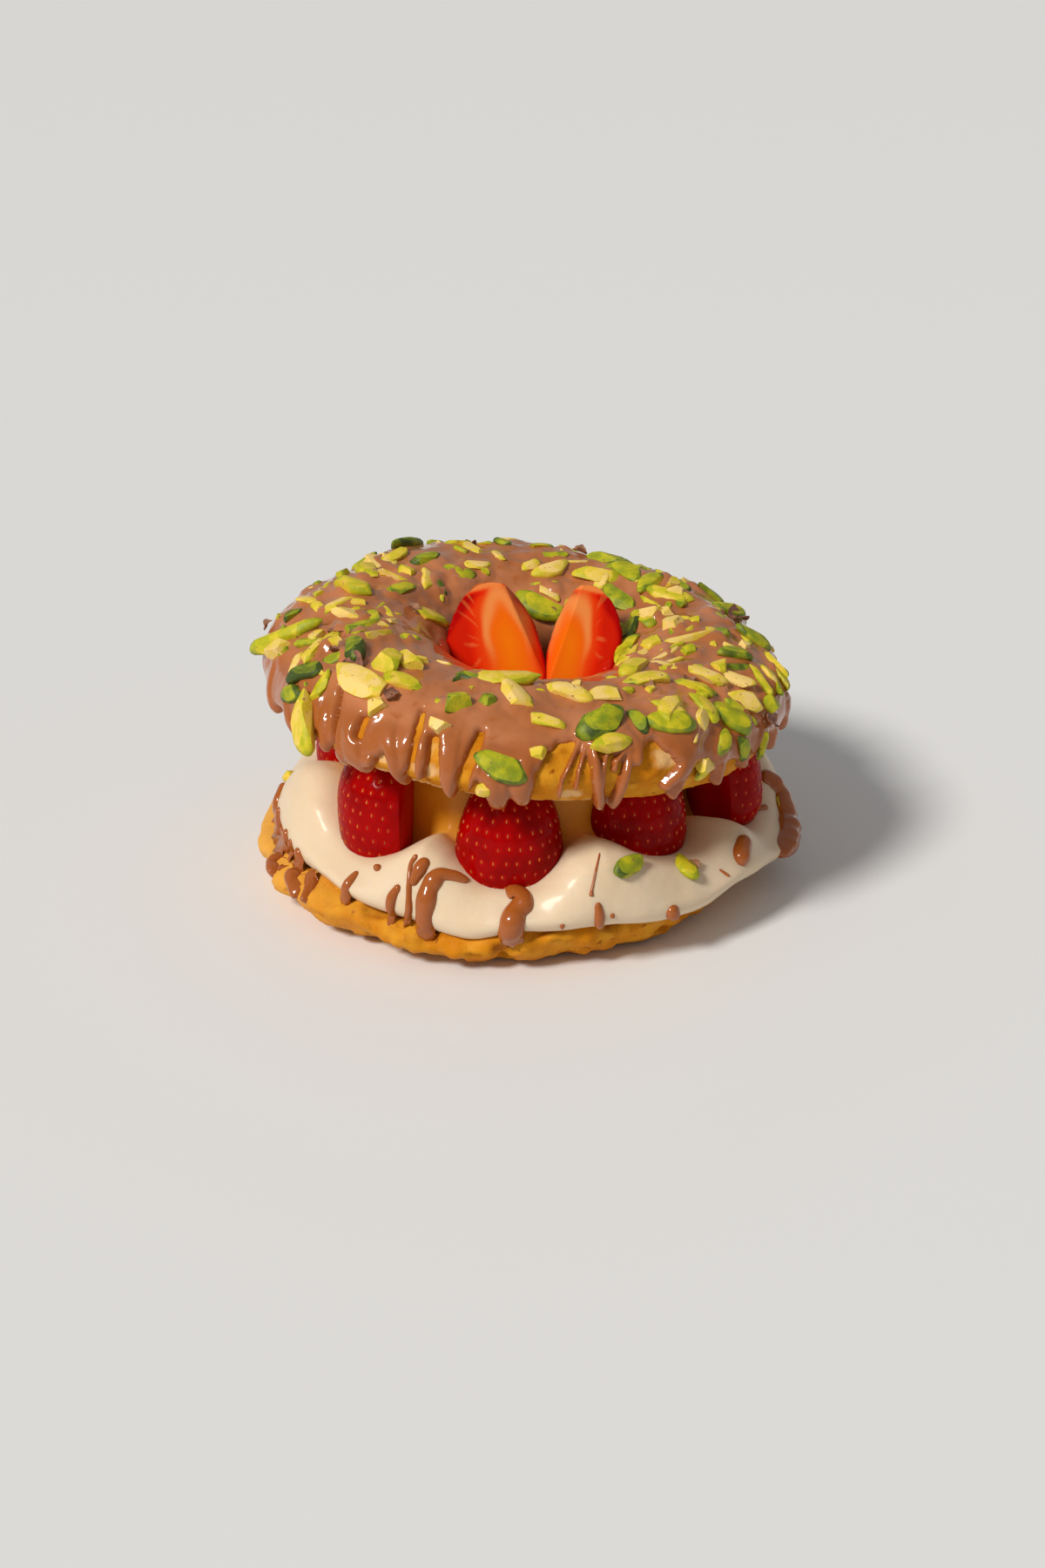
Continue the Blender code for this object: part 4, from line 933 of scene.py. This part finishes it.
SKIN_TAN = (0.62, 0.33, 0.13)
SKIN_THICKNESS = 0.28 * MM


def nut_piece(length, width, height, cuts, draw):
    """One piece of nut: a bent, uneven nugget with flat breaks. Gives places, faces, breaks."""
    shape = bmesh.new()
    bmesh.ops.create_icosphere(shape, subdivisions=3, radius=1.0)
    points = np.array([vert.co for vert in shape.verts])
    size = 0.5 * np.array((length, width, height))
    points = points * ((np.abs(points) ** 2.1).sum(axis=1) ** (-1.0 / 2.1))[:, None]
    points[:, 1:] *= 1.0 - draw.uniform(0.15, 0.6) * np.maximum(0.0, points[:, :1]) ** 1.6
    points = points * size
    points[:, 1] += draw.uniform(-0.9, 0.9) * width / length ** 2 * points[:, 0] ** 2
    points[:, 2] += draw.uniform(-0.9, 0.3) * height / length ** 2 * points[:, 0] ** 2
    offset = draw.uniform(0.0, 1.0)
    rough = 0.45 * wrinkle(points + offset, 3.2 * MM) + 0.12 * wrinkle(points + offset, 1.1 * MM)
    points = points + unit(points) * (rough * MM)[:, None]
    for vert, place in zip(shape.verts, points.tolist()):
        vert.co = place
    for way, room in cuts(draw):
        way = unit(np.array(way)) / size
        cut = bmesh.ops.bisect_plane(
            shape, geom=shape.verts[:] + shape.edges[:] + shape.faces[:],
            plane_co=way * room / (way @ way), plane_no=unit(way), clear_outer=True)
        rim = [part for part in cut["geom_cut"] if isinstance(part, bmesh.types.BMEdge)]
        for face in bmesh.ops.contextual_create(shape, geom=rim)["faces"]:
            face.material_index = 1
    shape.verts.index_update()
    points = np.array([vert.co for vert in shape.verts])
    faces = [[vert.index for vert in face.verts] for face in shape.faces]
    broken = [float(face.material_index) for face in shape.faces]
    shape.free()
    return points, faces, broken


def end_cut(draw, room):
    """A break across one end: its direction, and its share of the way out."""
    return (draw.choice((-1.0, 1.0)), draw.uniform(-0.7, 0.7), draw.uniform(-0.5, 0.5)), room


def side_cut(draw, room):
    """A break along one side, in the same way."""
    return (draw.uniform(-0.4, 0.4), draw.choice((-1.0, 1.0)), draw.uniform(-0.6, 0.6)), room


BREAKS = {                          # the planes that break each kind
    "kernel": lambda draw: [
        ((0.1, 0.2, 1.0), draw.uniform(0.5, 0.75)), side_cut(draw, 0.72),
        ((0.5, -0.4, 1.0), draw.uniform(0.55, 0.75))],
    "slice": lambda draw: [
        ((0.1, 0.1, 1.0), 0.62), ((0.0, 0.1, -1.0), 0.6), end_cut(draw, draw.uniform(0.6, 0.85)),
        side_cut(draw, draw.uniform(0.5, 0.75)), side_cut(draw, draw.uniform(0.55, 0.8))],
    "sliver": lambda draw: [
        side_cut(draw, 0.5), ((0.1, 0.3, 1.0), 0.5), side_cut(draw, 0.6),
        ((0.0, -0.5, 0.8), 0.55), end_cut(draw, 0.88)],
    "chunk": lambda draw: [
        ((1.0, 0.2, 0.1), 0.62), ((-1.0, 0.3, 0.2), 0.62), ((0.1, 1.0, 0.2), 0.6),
        ((0.2, -1.0, 0.1), 0.62), ((0.1, 0.1, 1.0), 0.6),
        ((0.7, 0.6, 0.6), draw.uniform(0.5, 0.8))],
}


def skin_grid(length, width, height, draw):
    """A scrap of the nut's thin skin: a curled, crumpled leaf with a torn edge."""
    turn = np.linspace(0.0, 2.0 * np.pi, 30, endpoint=False)[:, None]
    ring = np.linspace(0.0, 1.0, 7)[None, 1:]
    offset = draw.uniform(0.0, 1.0)
    torn = 0.5 * (1.0 + 0.35 * wrinkle(on_ring(1.0, np.degrees(turn)) + offset, 0.6))
    flat = np.stack(np.broadcast_arrays(
        length * ring * torn * np.cos(turn), width * ring * torn * np.sin(turn), 0.0), -1)
    rise = 0.7 * MM * wrinkle(flat + offset, 2.8 * MM) + 0.2 * MM * wrinkle(flat + offset, 1.2 * MM)
    flat[..., 2] = rise + 1.6 * flat[..., 1] ** 2 / width
    lower = flat[:, ::-1] - (0.0, 0.0, SKIN_THICKNESS)
    points = np.concatenate((flat, lower), axis=1)
    faces = grid_faces(points.shape[0], points.shape[1], tube=False).tolist()
    return points.reshape(-1, 3), faces, [0.0] * len(faces)


def scatter(name, kind, places, draw):
    """Join the pieces of one kind, each at its place: a matrix, sizes and ripeness."""
    points, faces, ripe, broken, count = [], [], [], [], 0
    for matrix, length, width, height, ripeness in places:
        if kind == "skin":
            grid, around, torn = skin_grid(length, width, height, draw)
        else:
            grid, around, torn = nut_piece(length, width, height, BREAKS[kind], draw)
        points.append(grid @ np.array(matrix)[:3, :3].T + np.array(matrix)[:3, 3])
        faces += [[count + spot for spot in face] for face in around]
        count += len(grid)
        ripe.append(np.full(len(grid), ripeness))
        broken += torn
    made = mesh_object(name, np.concatenate(points), faces, {"ripe": np.concatenate(ripe)},
                       {"broken": broken})
    made.data.set_sharp_from_angle(angle=BREAK_ANGLE)
    finish_piece(made, nut_skin if kind == "skin" else nut_flesh)


def added(tree, first, second):
    """The sum of two values."""
    made = tree.nodes.new("ShaderNodeMath")
    feed(tree, made.inputs[0], first)
    feed(tree, made.inputs[1], second)
    return made.outputs[0]


nut_flesh, tree, shader = new_material("pistachio", 0.5, specular_ior_level=0.35)
ripe = added(tree, value_of(tree, "ripe"),
             spread(tree, value_of(tree, "broken"), 0.0, 1.0, 0.16, -0.06))
ripe = added(tree, ripe, spread(tree, blotches(tree, 3.5, 0.25, 0.75), 0.0, 1.0, -0.13, 0.13))
colour = colour_ramp(tree, NUT_COLOURS, ripe)
colour = mixed(tree, blotches(tree, 1.3, 0.64, 0.74), colour, NUT_SPECKS)
feed(tree, shader.inputs["Base Color"], colour)
relief(tree, shader, 0.6, 0.10, 4.0)

nut_skin, tree, shader = new_material("pistachio_skin", 0.6, specular_ior_level=0.35)
colour = mixed(tree, blotches(tree, 2.0, 0.35, 0.65), SKIN_PURPLE, SKIN_DARK)
colour = mixed(tree, value_of(tree, "ripe"), colour, SKIN_TAN)
feed(tree, shader.inputs["Base Color"], colour)
relief(tree, shader, 0.7, 0.25, 4.0)


def laid(heading, out, up, along):
    """How a piece lies: X along its heading, from up towards along, and Z out of the surface."""
    turn = math.radians(heading)
    length = (math.cos(turn) * up + math.sin(turn) * along).normalized()
    return Matrix((length, out.cross(length).normalized(), out)).transposed()


def nut_place(bearing, climb, heading, lift, draw):
    """A matrix on the coated lid for a piece that lies along its heading, a little tilted."""
    place, out, up, along = (Vector(row) for row in lid_frame(bearing, climb, lift))
    tilt = Matrix.Rotation(draw.uniform(-0.35, 0.35), 3, "X")
    tilt = tilt @ Matrix.Rotation(draw.uniform(-0.14, 0.14), 3, "Y")
    seat = Matrix.Translation(Vector(LID_SEAT)) @ Matrix(LID_TURN.tolist()).to_4x4()
    return seat @ Matrix.Translation(place) @ (laid(heading, out, up, along) @ tilt).to_4x4()


draw = random.Random(NUT_SEED)
kinds = {kind: list(rows) for kind, rows in NUTS.items()}
for spot in range(BACK_NUTS):
    where = 112.0 + (spot + draw.uniform(-0.3, 0.3)) * 136.0 / BACK_NUTS
    long = draw.uniform(8.0, 12.0)
    kinds["kernel"].append((where, draw.uniform(0.18, 0.36), draw.uniform(-90, 90), long,
                            draw.uniform(0.3, 0.9)))
for bearings, climbs, count, longest in CRUMBS:
    for _ in range(count):
        kind = draw.choice(CRUMB_KINDS)
        size = draw.uniform(0.5, 1.0) * longest * (0.6 if kind == "chunk" else 1.0)
        kinds[kind].append((draw.uniform(*bearings), draw.uniform(*climbs), draw.uniform(-90, 90),
                            size, draw.uniform(0.0, 0.75)))
axes = []
for kind, rows in kinds.items():
    wide, tall = NUT_FORMS[kind]
    places = []
    for where, high, heading, long, ripeness in rows:
        long *= NUT_SCALE[kind]
        width = long * wide * draw.uniform(0.85, 1.1)
        height = long * tall * draw.uniform(0.9, 1.15)
        covered = high > float(read_curve(COAT_EDGE, where)) + 0.02
        lift = GAP + (COAT_THICKNESS if covered else 0.3 * MM) + 0.24 * height * MM
        if kind == "skin":
            lift += 0.9 * MM
        places.append((nut_place(where, high, heading, lift, draw), long * MM, width * MM,
                       height * MM, ripeness))
        if covered and kind != "skin":
            turn = math.radians(heading)
            centre, _, up, along = lid_frame(where, high)
            ahead = math.cos(turn) * up + math.sin(turn) * along
            axes.append((centre, ahead, 0.5 * long * MM, 0.5 * width * MM))
    scatter(f"pistachio_{kind}s", kind, places, draw)

# The chocolate wells up a little round each piece that lies in it, and so is made after them.
for centre, ahead, half_length, half_width in axes:
    local = np.linalg.norm(crust - centre, axis=-1) < half_length + 5 * MM
    apart = crust[local] - centre
    run = np.clip(apart @ ahead, -(half_length - half_width), half_length - half_width)
    off = np.linalg.norm(apart - run[:, None] * ahead, axis=1) - 0.8 * half_width
    thick[local] += np.where(reach[local] > 0.5 * MM,
                             0.5 * MM * np.exp(-(np.maximum(off, 0.0) / (1.1 * MM)) ** 2), 0.0)

surface = seated(crust + out * thick[..., None])
# Darker where the coat is thin, and painted shade over the lower side of the lid, below a climb of
# about 0.36.
thin_and_shade = np.maximum(ease(1.0 - thick / (1.2 * MM)), 0.75 * ease((0.36 - climb) / 0.14))
faces = grid_faces(*thick.shape, tube=False)
faces = faces[(thick.ravel()[faces] > 0.2 * MM - SKIRT).any(axis=1)]
used, faces = np.unique(faces, return_inverse=True)
chocolate = mesh_object("milk_chocolate_coat", surface.reshape(-1, 3)[used],
                        faces.reshape(-1, 4), {"thin_and_shade": thin_and_shade.ravel()[used]})
poured, tree, shader = new_material("poured_chocolate", 0.28, specular_ior_level=0.12,
                                    coat_weight=1.0, coat_roughness=0.06, coat_ior=1.42)
colour = mixed(tree, blotches(tree, 16.0, 0.3, 0.7), MILK_CHOCOLATE, PALE_CHOCOLATE)
colour = mixed(tree, blotches(tree, 3.0, 0.55, 0.85), colour, WARM_CHOCOLATE)
# Darker where the coat is thin, and painted shade down the lid's side and on the strings.
colour = mixed(tree, spread(tree, value_of(tree, "thin_and_shade"), 0.3, 1.0), colour, THIN_AND_SHADED_CHOCOLATE)
feed(tree, shader.inputs["Base Color"], colour)
relief(tree, shader, 1.8, 0.05, 2.0)
finish_piece(chocolate, poured, "milk_chocolate", "chocolate_coat")


# ---- the two wedges ---------------------------------------------------------------------------
# Two wedges of one strawberry jammed upright in the lid's hole, calyx end up. Each shows a wide
# cut face in front and a second cut towards its twin, skin and seeds at its outer side.

# Calyx end and tip in the lid's frame, width and thickness, all in mm; the side of the twin; how
# far from the axis the second cut runs at the calyx and at the tip, in mm; how much the wedge
# narrows to its tip and to its calyx.
WEDGES = (
    ("wedge_left", (-13.0, 5.5, 33.6), (-2.2, -8.8, -1.0), 31.5, 13.0, 1, 5.0, 11.8, 0.44, 0.8),
    ("wedge_right", (16.6, 5.8, 34.0), (11.2, -8.6, 0.0), 25.6, 11.5, -1, 1.6, 7.6, 0.34, 0.3),
)
WEDGE_FACET = 0.95                  # how squarely the second cut faces the twin
WEDGE_FULLNESS = 2.3
WEDGE_SIDES = 170
SEED_MARGIN = 1.2 * MM, 1.0 * MM    # from each cut, the first in front, that holds no seeds
HEART_WIDTH, HEART_HEIGHT = 0.34, 0.38          # of the pale heart, as shares of the wedge's

# The wedges stand on top of the lid, so their skin gets no painted shade.
unshaded_wedge_skin = strawberry_material("strawberry_wedge", 0.0)
pip_points, pip_out, pip_along = [], [], []
draw = random.Random(8)
for name, calyx, tip, width, thickness, side, near, far, narrowing, shoulder in WEDGES:
    calyx, tip = Vector(calyx) * MM, Vector(tip) * MM
    width *= MM
    length = (tip - calyx).length
    face = width / 2.0 - thickness * MM
    corner = -side * near * MM       # across the wedge, x points to the left
    facet = unit(np.array((-side * WEDGE_FACET, -math.sqrt(1.0 - WEDGE_FACET ** 2),
                           -WEDGE_FACET * (far - near) * MM / length)))
    form = width, narrowing, shoulder, WEDGE_FULLNESS
    seeds = seed_places(length, lambda h: berry_width(h, *form), draw,
                        lambda h, t: math.sin(t) < 0.1)
    turns = np.linspace(0.0, 2.0 * np.pi, WEDGE_SIDES, endpoint=False)
    grid, flesh, heart, dimple, pips = berry_grid(
        length, width, narrowing, turns, seeds,
        [((0.0, face, 0.0), (0.0, -1.0, 0.0)), ((corner, face, 0.0), facet)],
        shoulder, WEDGE_FULLNESS, axis=(0.10 * side * width, face + 0.10 * width))
    axis = (tip - calyx).normalized()
    back = Vector((0.0, 1.0, 0.0))
    back = (back - back.dot(axis) * axis).normalized()
    across = back.cross(axis).normalized()
    turned = np.array((across, back, axis))

    # The cut flesh: an oval heart with a pale halo, fine pale rays, and a red rim under the skin.
    high = grid[..., 2] / length
    core = np.stack((grid[..., 0] / (0.5 * width) + 0.16 * side, high - 0.50), -1)
    core = core + 0.07 * np.stack((wrinkle(grid, 7 * MM), wrinkle(grid + 0.1, 7 * MM)), -1)
    core = core / (HEART_WIDTH, HEART_HEIGHT)
    oval = np.linalg.norm(core, axis=-1)
    angle = np.arctan2(core[..., 1], core[..., 0])
    rays = wrinkle(np.stack((17.0 * np.cos(angle), 17.0 * np.sin(angle), 0.7 * oval), -1), 1.0)
    streak = flesh * ease((rays + 0.05) / 0.5) * ease((oval - 1.3) / 0.4) * ease(2.9 - oval)
    halo = np.exp(-((oval - 1.05) / 0.28) ** 2) * ease((0.75 - high) / 0.45)
    halo = flesh * np.maximum(halo, 0.9 * ease((0.07 - high) / 0.04))
    heart = np.where(flesh > 0.0, np.clip(0.30 + 0.36 * (oval - 0.9), 0.0, 0.74), heart)
    skin_near = berry_width(np.clip(high, 0.0, 1.0), *form)
    deep = (2.4 + 3.6 * ease((0.26 - high) / 0.12) + 1.2 * wrinkle(grid, 4 * MM)) * MM
    rim = ease((np.linalg.norm(grid[..., :2], axis=-1) - skin_near + deep) / (0.75 * deep))
    rim = rim * ease((high - 0.05) / 0.03)
    heart = np.where(flesh > 0.0, heart * (1.0 - rim) + 0.95 * rim, heart)
    made = mesh_object(f"strawberry_{name}", seated(grid @ turned + np.array(calyx)),
                       grid_faces(*grid.shape[:2], ring=False)[:, ::-1],
                       {"flesh": flesh, "heart": heart, "dimple": dimple,
                        "streak": np.maximum(0.4 * streak, 0.75 * halo)})
    finish_piece(made, unshaded_wedge_skin, "strawberry_flesh", name)

    shown = pips[:, 1] > face + SEED_MARGIN[0]
    shown = shown & ((pips - (corner, face, 0.0)) @ facet < -SEED_MARGIN[1])
    sunk, out, along = seed_stance(pips[shown], length)
    pip_points.append(seated(sunk @ turned + np.array(calyx)))
    pip_out.append(out @ turned @ LID_TURN.T)
    pip_along.append(along @ turned @ LID_TURN.T)
pips, faces = seed_mesh(*map(np.concatenate, (pip_points, pip_out, pip_along)))
finish_piece(mesh_object("strawberry_wedge_seeds", pips, faces), seed_material)


# ---- chocolate and pistachios on the cream ----------------------------------------------------
# Chocolate that missed the lid and ran down the cream in strings, drops and blots, on to the rim
# of the base, with a few pieces of pistachio that fell after it.

CORE_RADIUS, CORE_HEIGHT = 55.0 * MM, 18.0 * MM     # the middle of the rope of cream

# The strings, by their points: bearing, turn round the rope's core in degrees (0 straight out, 90
# up) and width in mm.
STRINGS = (
    ((-13.2, 34.5, 2.6), (-15.9, 38.5, 3.2), (-19.4, 37, 4.0), (-21, 22, 5.4), (-21.3, 3, 5.8),
     (-21.6, -20, 5.2), (-19.6, -29, 4.2)),
    ((-2.9, 29, 4.4), (0.6, 13, 6.4), (-2.0, 2, 6.6), (-2.4, -14, 7.4), (-2.7, -29, 5.4)),
    ((-28.2, 16, 2.2), (-29.5, 4, 3.0), (-29.8, -12, 2.7), (-29.6, -22, 2.6)),
    ((-25.6, 50, 1.8), (-26.6, 40, 1.6), (-25.5, 16, 1.8), (-25.0, -5, 2.2), (-26.2, -22, 2.6)),
    ((-23.0, 47, 3.2), (-23.9, 38, 4.4), (-24.9, 20, 1.6)),
    ((-40.6, 15, 1.4), (-41.1, 6, 3.0), (-41.9, -17, 3.8)),
    ((-35.5, 28.5, 2.8), (-35.6, 26.5, 3.2)),
    ((-89.5, 23, 3.0), (-85.4, 10, 3.8), (-86, -8, 3.6), (-87.8, -16.6, 4.8)),
    ((-90, 16, 2.4), (-86, 4, 3.2), (-82, -8, 3.6), (-76, -11, 3.4), (-71, -12, 3.6),
     (-66, -13, 4.2), (-62, -15, 4.4), (-57, -17, 3.6)),
    ((-79, 15, 2.4), (-79.4, 2, 3.6), (-80.6, -17, 4.8)),
    ((-69.6, 9, 2.6), (-69.8, -4, 3.8), (-71.4, -18.6, 4.0), (-65.8, -19.6, 4.6)),
    ((-66, 6, 2.0), (-67, -10, 3.0), (-65.2, -18, 4.4)),
    ((-61.9, 4, 2.8), (-61.5, -10, 4.6), (-61.3, -18, 5.0), (-58.4, -20.5, 4.2),
     (-56, -23.3, 3.6)),
    ((-59.6, -12, 3.0), (-56.5, -18, 4.2), (-51.3, -19.4, 4.4)),
    ((18.3, 55, 0.7), (16.2, 39, 0.7), (14.6, 22, 0.8), (14.5, 19, 1.9)),
    ((15.7, 12, 1.5), (16.0, 0, 2.8), (16.2, -11, 2.8)),
    ((18.7, 0.5, 1.5), (18.8, -2, 1.6)),
    ((8.2, -5, 1.3), (8.3, -8, 1.4)),
    ((32, -4, 3.6), (32.6, -11, 4.6)),
    ((47.6, 9, 0.7), (48.8, 2, 0.9)),
    ((58, 20.5, 5.0), (55.6, 14, 5.6), (53.6, 7, 4.2)),
    ((91.7, 27, 5.4), (92.4, 12, 6.0), (92, 0, 8.6), (87, -12, 9.0), (80, -15, 7.6),
     (73, -16, 4.0)),
    ((75.9, 21, 1.6), (80, 12, 2.0), (84, 5.6, 2.4)),
    ((138, 60, 3.0), (141, 30, 4.6), (143, 0, 5.0), (144, -20, 4.0)),
    ((-146, 50, 2.6), (-150, 24, 3.8), (-152, -4, 4.4), (-151, -18, 3.6)),
    ((176, 40, 2.2), (177, 12, 3.0), (175, -8, 3.2)),
)
FALLEN = (                          # kind, bearing, turn, heading, length in mm, ripeness
    ("kernel", 23.6, 37, 72, 10.5, 0.7), ("kernel", 39.5, 21, 6, 9.8, 0.55),
    ("chunk", 75.7, 12, 60, 5.0, 0.2), ("slice", 88, 0, 40, 6.0, 0.3),
    ("chunk", -91, 32, 10, 5.0, 0.3), ("slice", -132, 24, 40, 8.5, 0.4),
    ("kernel", 160, 20, 70, 8.0, 0.6), ("skin", 41.6, 20, 20, 4.0, 0.3),
)
STRING_ROWS = 12                    # rows for each point of a string
STRING_SIDES = 11
STRING_THIN_AND_SHADE = 0.85                  # the strings are coloured almost like the coat's thin edge, partly as painted shade

places, quads = [], []
for piece in (cream, choux_base):
    quads += [[len(places) + spot for spot in face.vertices] for face in piece.data.polygons]
    places += [tuple(vert.co) for vert in piece.data.vertices]
lower_cake = BVHTree.FromPolygons(places, quads)


def on_cream(bearing, turn):
    """A place on the side of the rope or the base, and the direction out of it."""
    way = on_ring(math.cos(math.radians(turn)), bearing, math.sin(math.radians(turn)))
    core = on_ring(CORE_RADIUS, bearing, CORE_HEIGHT)
    place, out, _, _ = lower_cake.ray_cast(Vector(core + 0.06 * way), Vector(-way))
    return place, out


def smoothed(rows, count):
    """Rows that each become the mean of the count rows round them."""
    room = ((count // 2, count // 2),) + ((0, 0),) * (rows.ndim - 1)
    padded = np.pad(rows, room, "edge")
    return np.mean([padded[first:first + len(rows)] for first in range(count)], axis=0)


def draped_string(points):
    """A string of chocolate with round ends, domed over and thicker towards its lower end."""
    rows = STRING_ROWS * len(points)
    run = np.linspace(0.0, len(points) - 1.0, rows)
    path = np.stack([np.interp(run, range(len(points)), column)
                     for column in np.array(points, float).T], -1)
    path = smoothed(path, 9)
    middle, out = map(np.array, zip(*[on_cream(bearing, turn) for bearing, turn, _ in path]))
    out = unit(smoothed(out, 9))
    ahead = unit(np.gradient(middle, axis=0))
    across = unit(np.cross(out, ahead))
    half = 0.5 * MM * path[:, 2] * (1.0 + 0.22 * wrinkle(middle, 2.8 * MM))
    middle = middle - ahead * (0.7 * half * np.linspace(1.0, -1.0, rows))[:, None]
    gone = np.append(0.0, np.cumsum(np.linalg.norm(np.diff(middle, axis=0), axis=1)))
    start = np.clip(gone / np.maximum(half[0], 1e-6), 0.0, 1.0)
    stop = np.clip((gone[-1] - gone) / np.maximum(half[-1], 1e-6), 0.0, 1.0)
    close = np.sqrt(1.0 - (1.0 - start) ** 2) * np.sqrt(1.0 - (1.0 - stop) ** 2)
    close = np.maximum(close, 0.02)
    side = np.cos(np.linspace(np.pi, 0.0, STRING_SIDES))
    rise = 0.62 * half + 0.45 * MM
    lift = (rise * close)[:, None] * np.sqrt(np.maximum(0.0, 1.0 - side ** 2)) - 0.25 * MM
    lift = lift * (1.0 + 0.35 * ease(gone / gone[-1]))[:, None]

    # Laid on the cream and the base, then eased over the crease between them.
    grid = middle[:, None] + across[:, None] * (side * (half * close)[:, None])[..., None]
    for row in range(rows):
        for spot in range(STRING_SIDES):
            above = Vector(grid[row, spot] + 6.0 * MM * out[row])
            place, _, _, _ = lower_cake.ray_cast(above, Vector(-out[row]), 14.0 * MM)
            if place is not None:
                grid[row, spot] = place
    return smoothed(grid, 7) + out[:, None] * lift[..., None]


points, faces = np.empty((0, 3)), []
for string in STRINGS:
    grid = draped_string(string)
    faces.append(grid_faces(*grid.shape[:2], ring=False, tube=False) + len(points))
    points = np.concatenate((points, grid.reshape(-1, 3)))
strings = mesh_object("milk_chocolate_strings", points, np.concatenate(faces),
                      {"thin_and_shade": np.full(len(points), STRING_THIN_AND_SHADE)})
finish_piece(strings, poured, "milk_chocolate")

draw = random.Random(NUT_SEED + 3)
for kind, (wide, tall) in NUT_FORMS.items():
    places = []
    for _, where, high, heading, long, ripeness in [row for row in FALLEN if row[0] == kind]:
        place, out = on_cream(where, high)
        along = Vector(on_ring(1.0, where + 90.0))
        along = (along - along.dot(out) * out).normalized()
        turned = laid(heading, out, out.cross(along), along)
        place = place + out * (0.22 * long * tall + (0.8 if kind == "skin" else 0.0)) * MM
        places.append((Matrix.Translation(place) @ turned.to_4x4(), long * MM, long * wide * MM,
                       long * tall * MM, ripeness))
    if places:
        scatter(f"fallen_{kind}s", kind, places, draw)


# ---- the studio -------------------------------------------------------------------------------
# A plain pale floor under soft light: a broad, warm sun high in front at the left, and a white
# sky. The camera stands in front and looks down at the pastry.

TARGET = Vector((0.0, 0.0, 23.5)) * MM
DISTANCE = 0.75
ELEVATION = math.radians(25.0)
PALE_GREY = (0.86, 0.86, 0.86)

floor = mesh_object("floor", ((-3, -3, 0), (3, -3, 0), (3, 3, 0), (-3, 3, 0)), ((0, 1, 2, 3),))
material, tree, shader = new_material("pale_floor", 0.6)
feed(tree, shader.inputs["Base Color"], PALE_GREY)
floor.data.materials.append(material)

world = bpy.data.worlds.new("studio")
world.use_nodes = True
sky = world.node_tree.nodes["Background"]
sky.inputs["Color"].default_value = (1.0, 1.0, 1.0, 1.0)
sky.inputs["Strength"].default_value = 0.28
bpy.context.scene.world = world
bpy.context.scene.view_settings.view_transform = "Standard"

key = bpy.data.lights.new("key", "SUN")
key.energy = 2.65
key.angle = math.radians(14.0)
key.color = (1.0, 0.97, 0.92)
sun = bpy.data.objects.new("key", key)
sun.rotation_euler = Vector((0.64, 0.58, -0.80)).to_track_quat("-Z", "Y").to_euler()
bpy.context.scene.collection.objects.link(sun)

camera = bpy.data.cameras.new("camera")
camera.lens = 60.0
camera.sensor_width = 36.0
stand = bpy.data.objects.new("camera", camera)
stand.location = TARGET + DISTANCE * Vector((0.0, -math.cos(ELEVATION), math.sin(ELEVATION)))
stand.rotation_euler = (TARGET - stand.location).to_track_quat("-Z", "Y").to_euler()
bpy.context.scene.collection.objects.link(stand)
bpy.context.scene.camera = stand
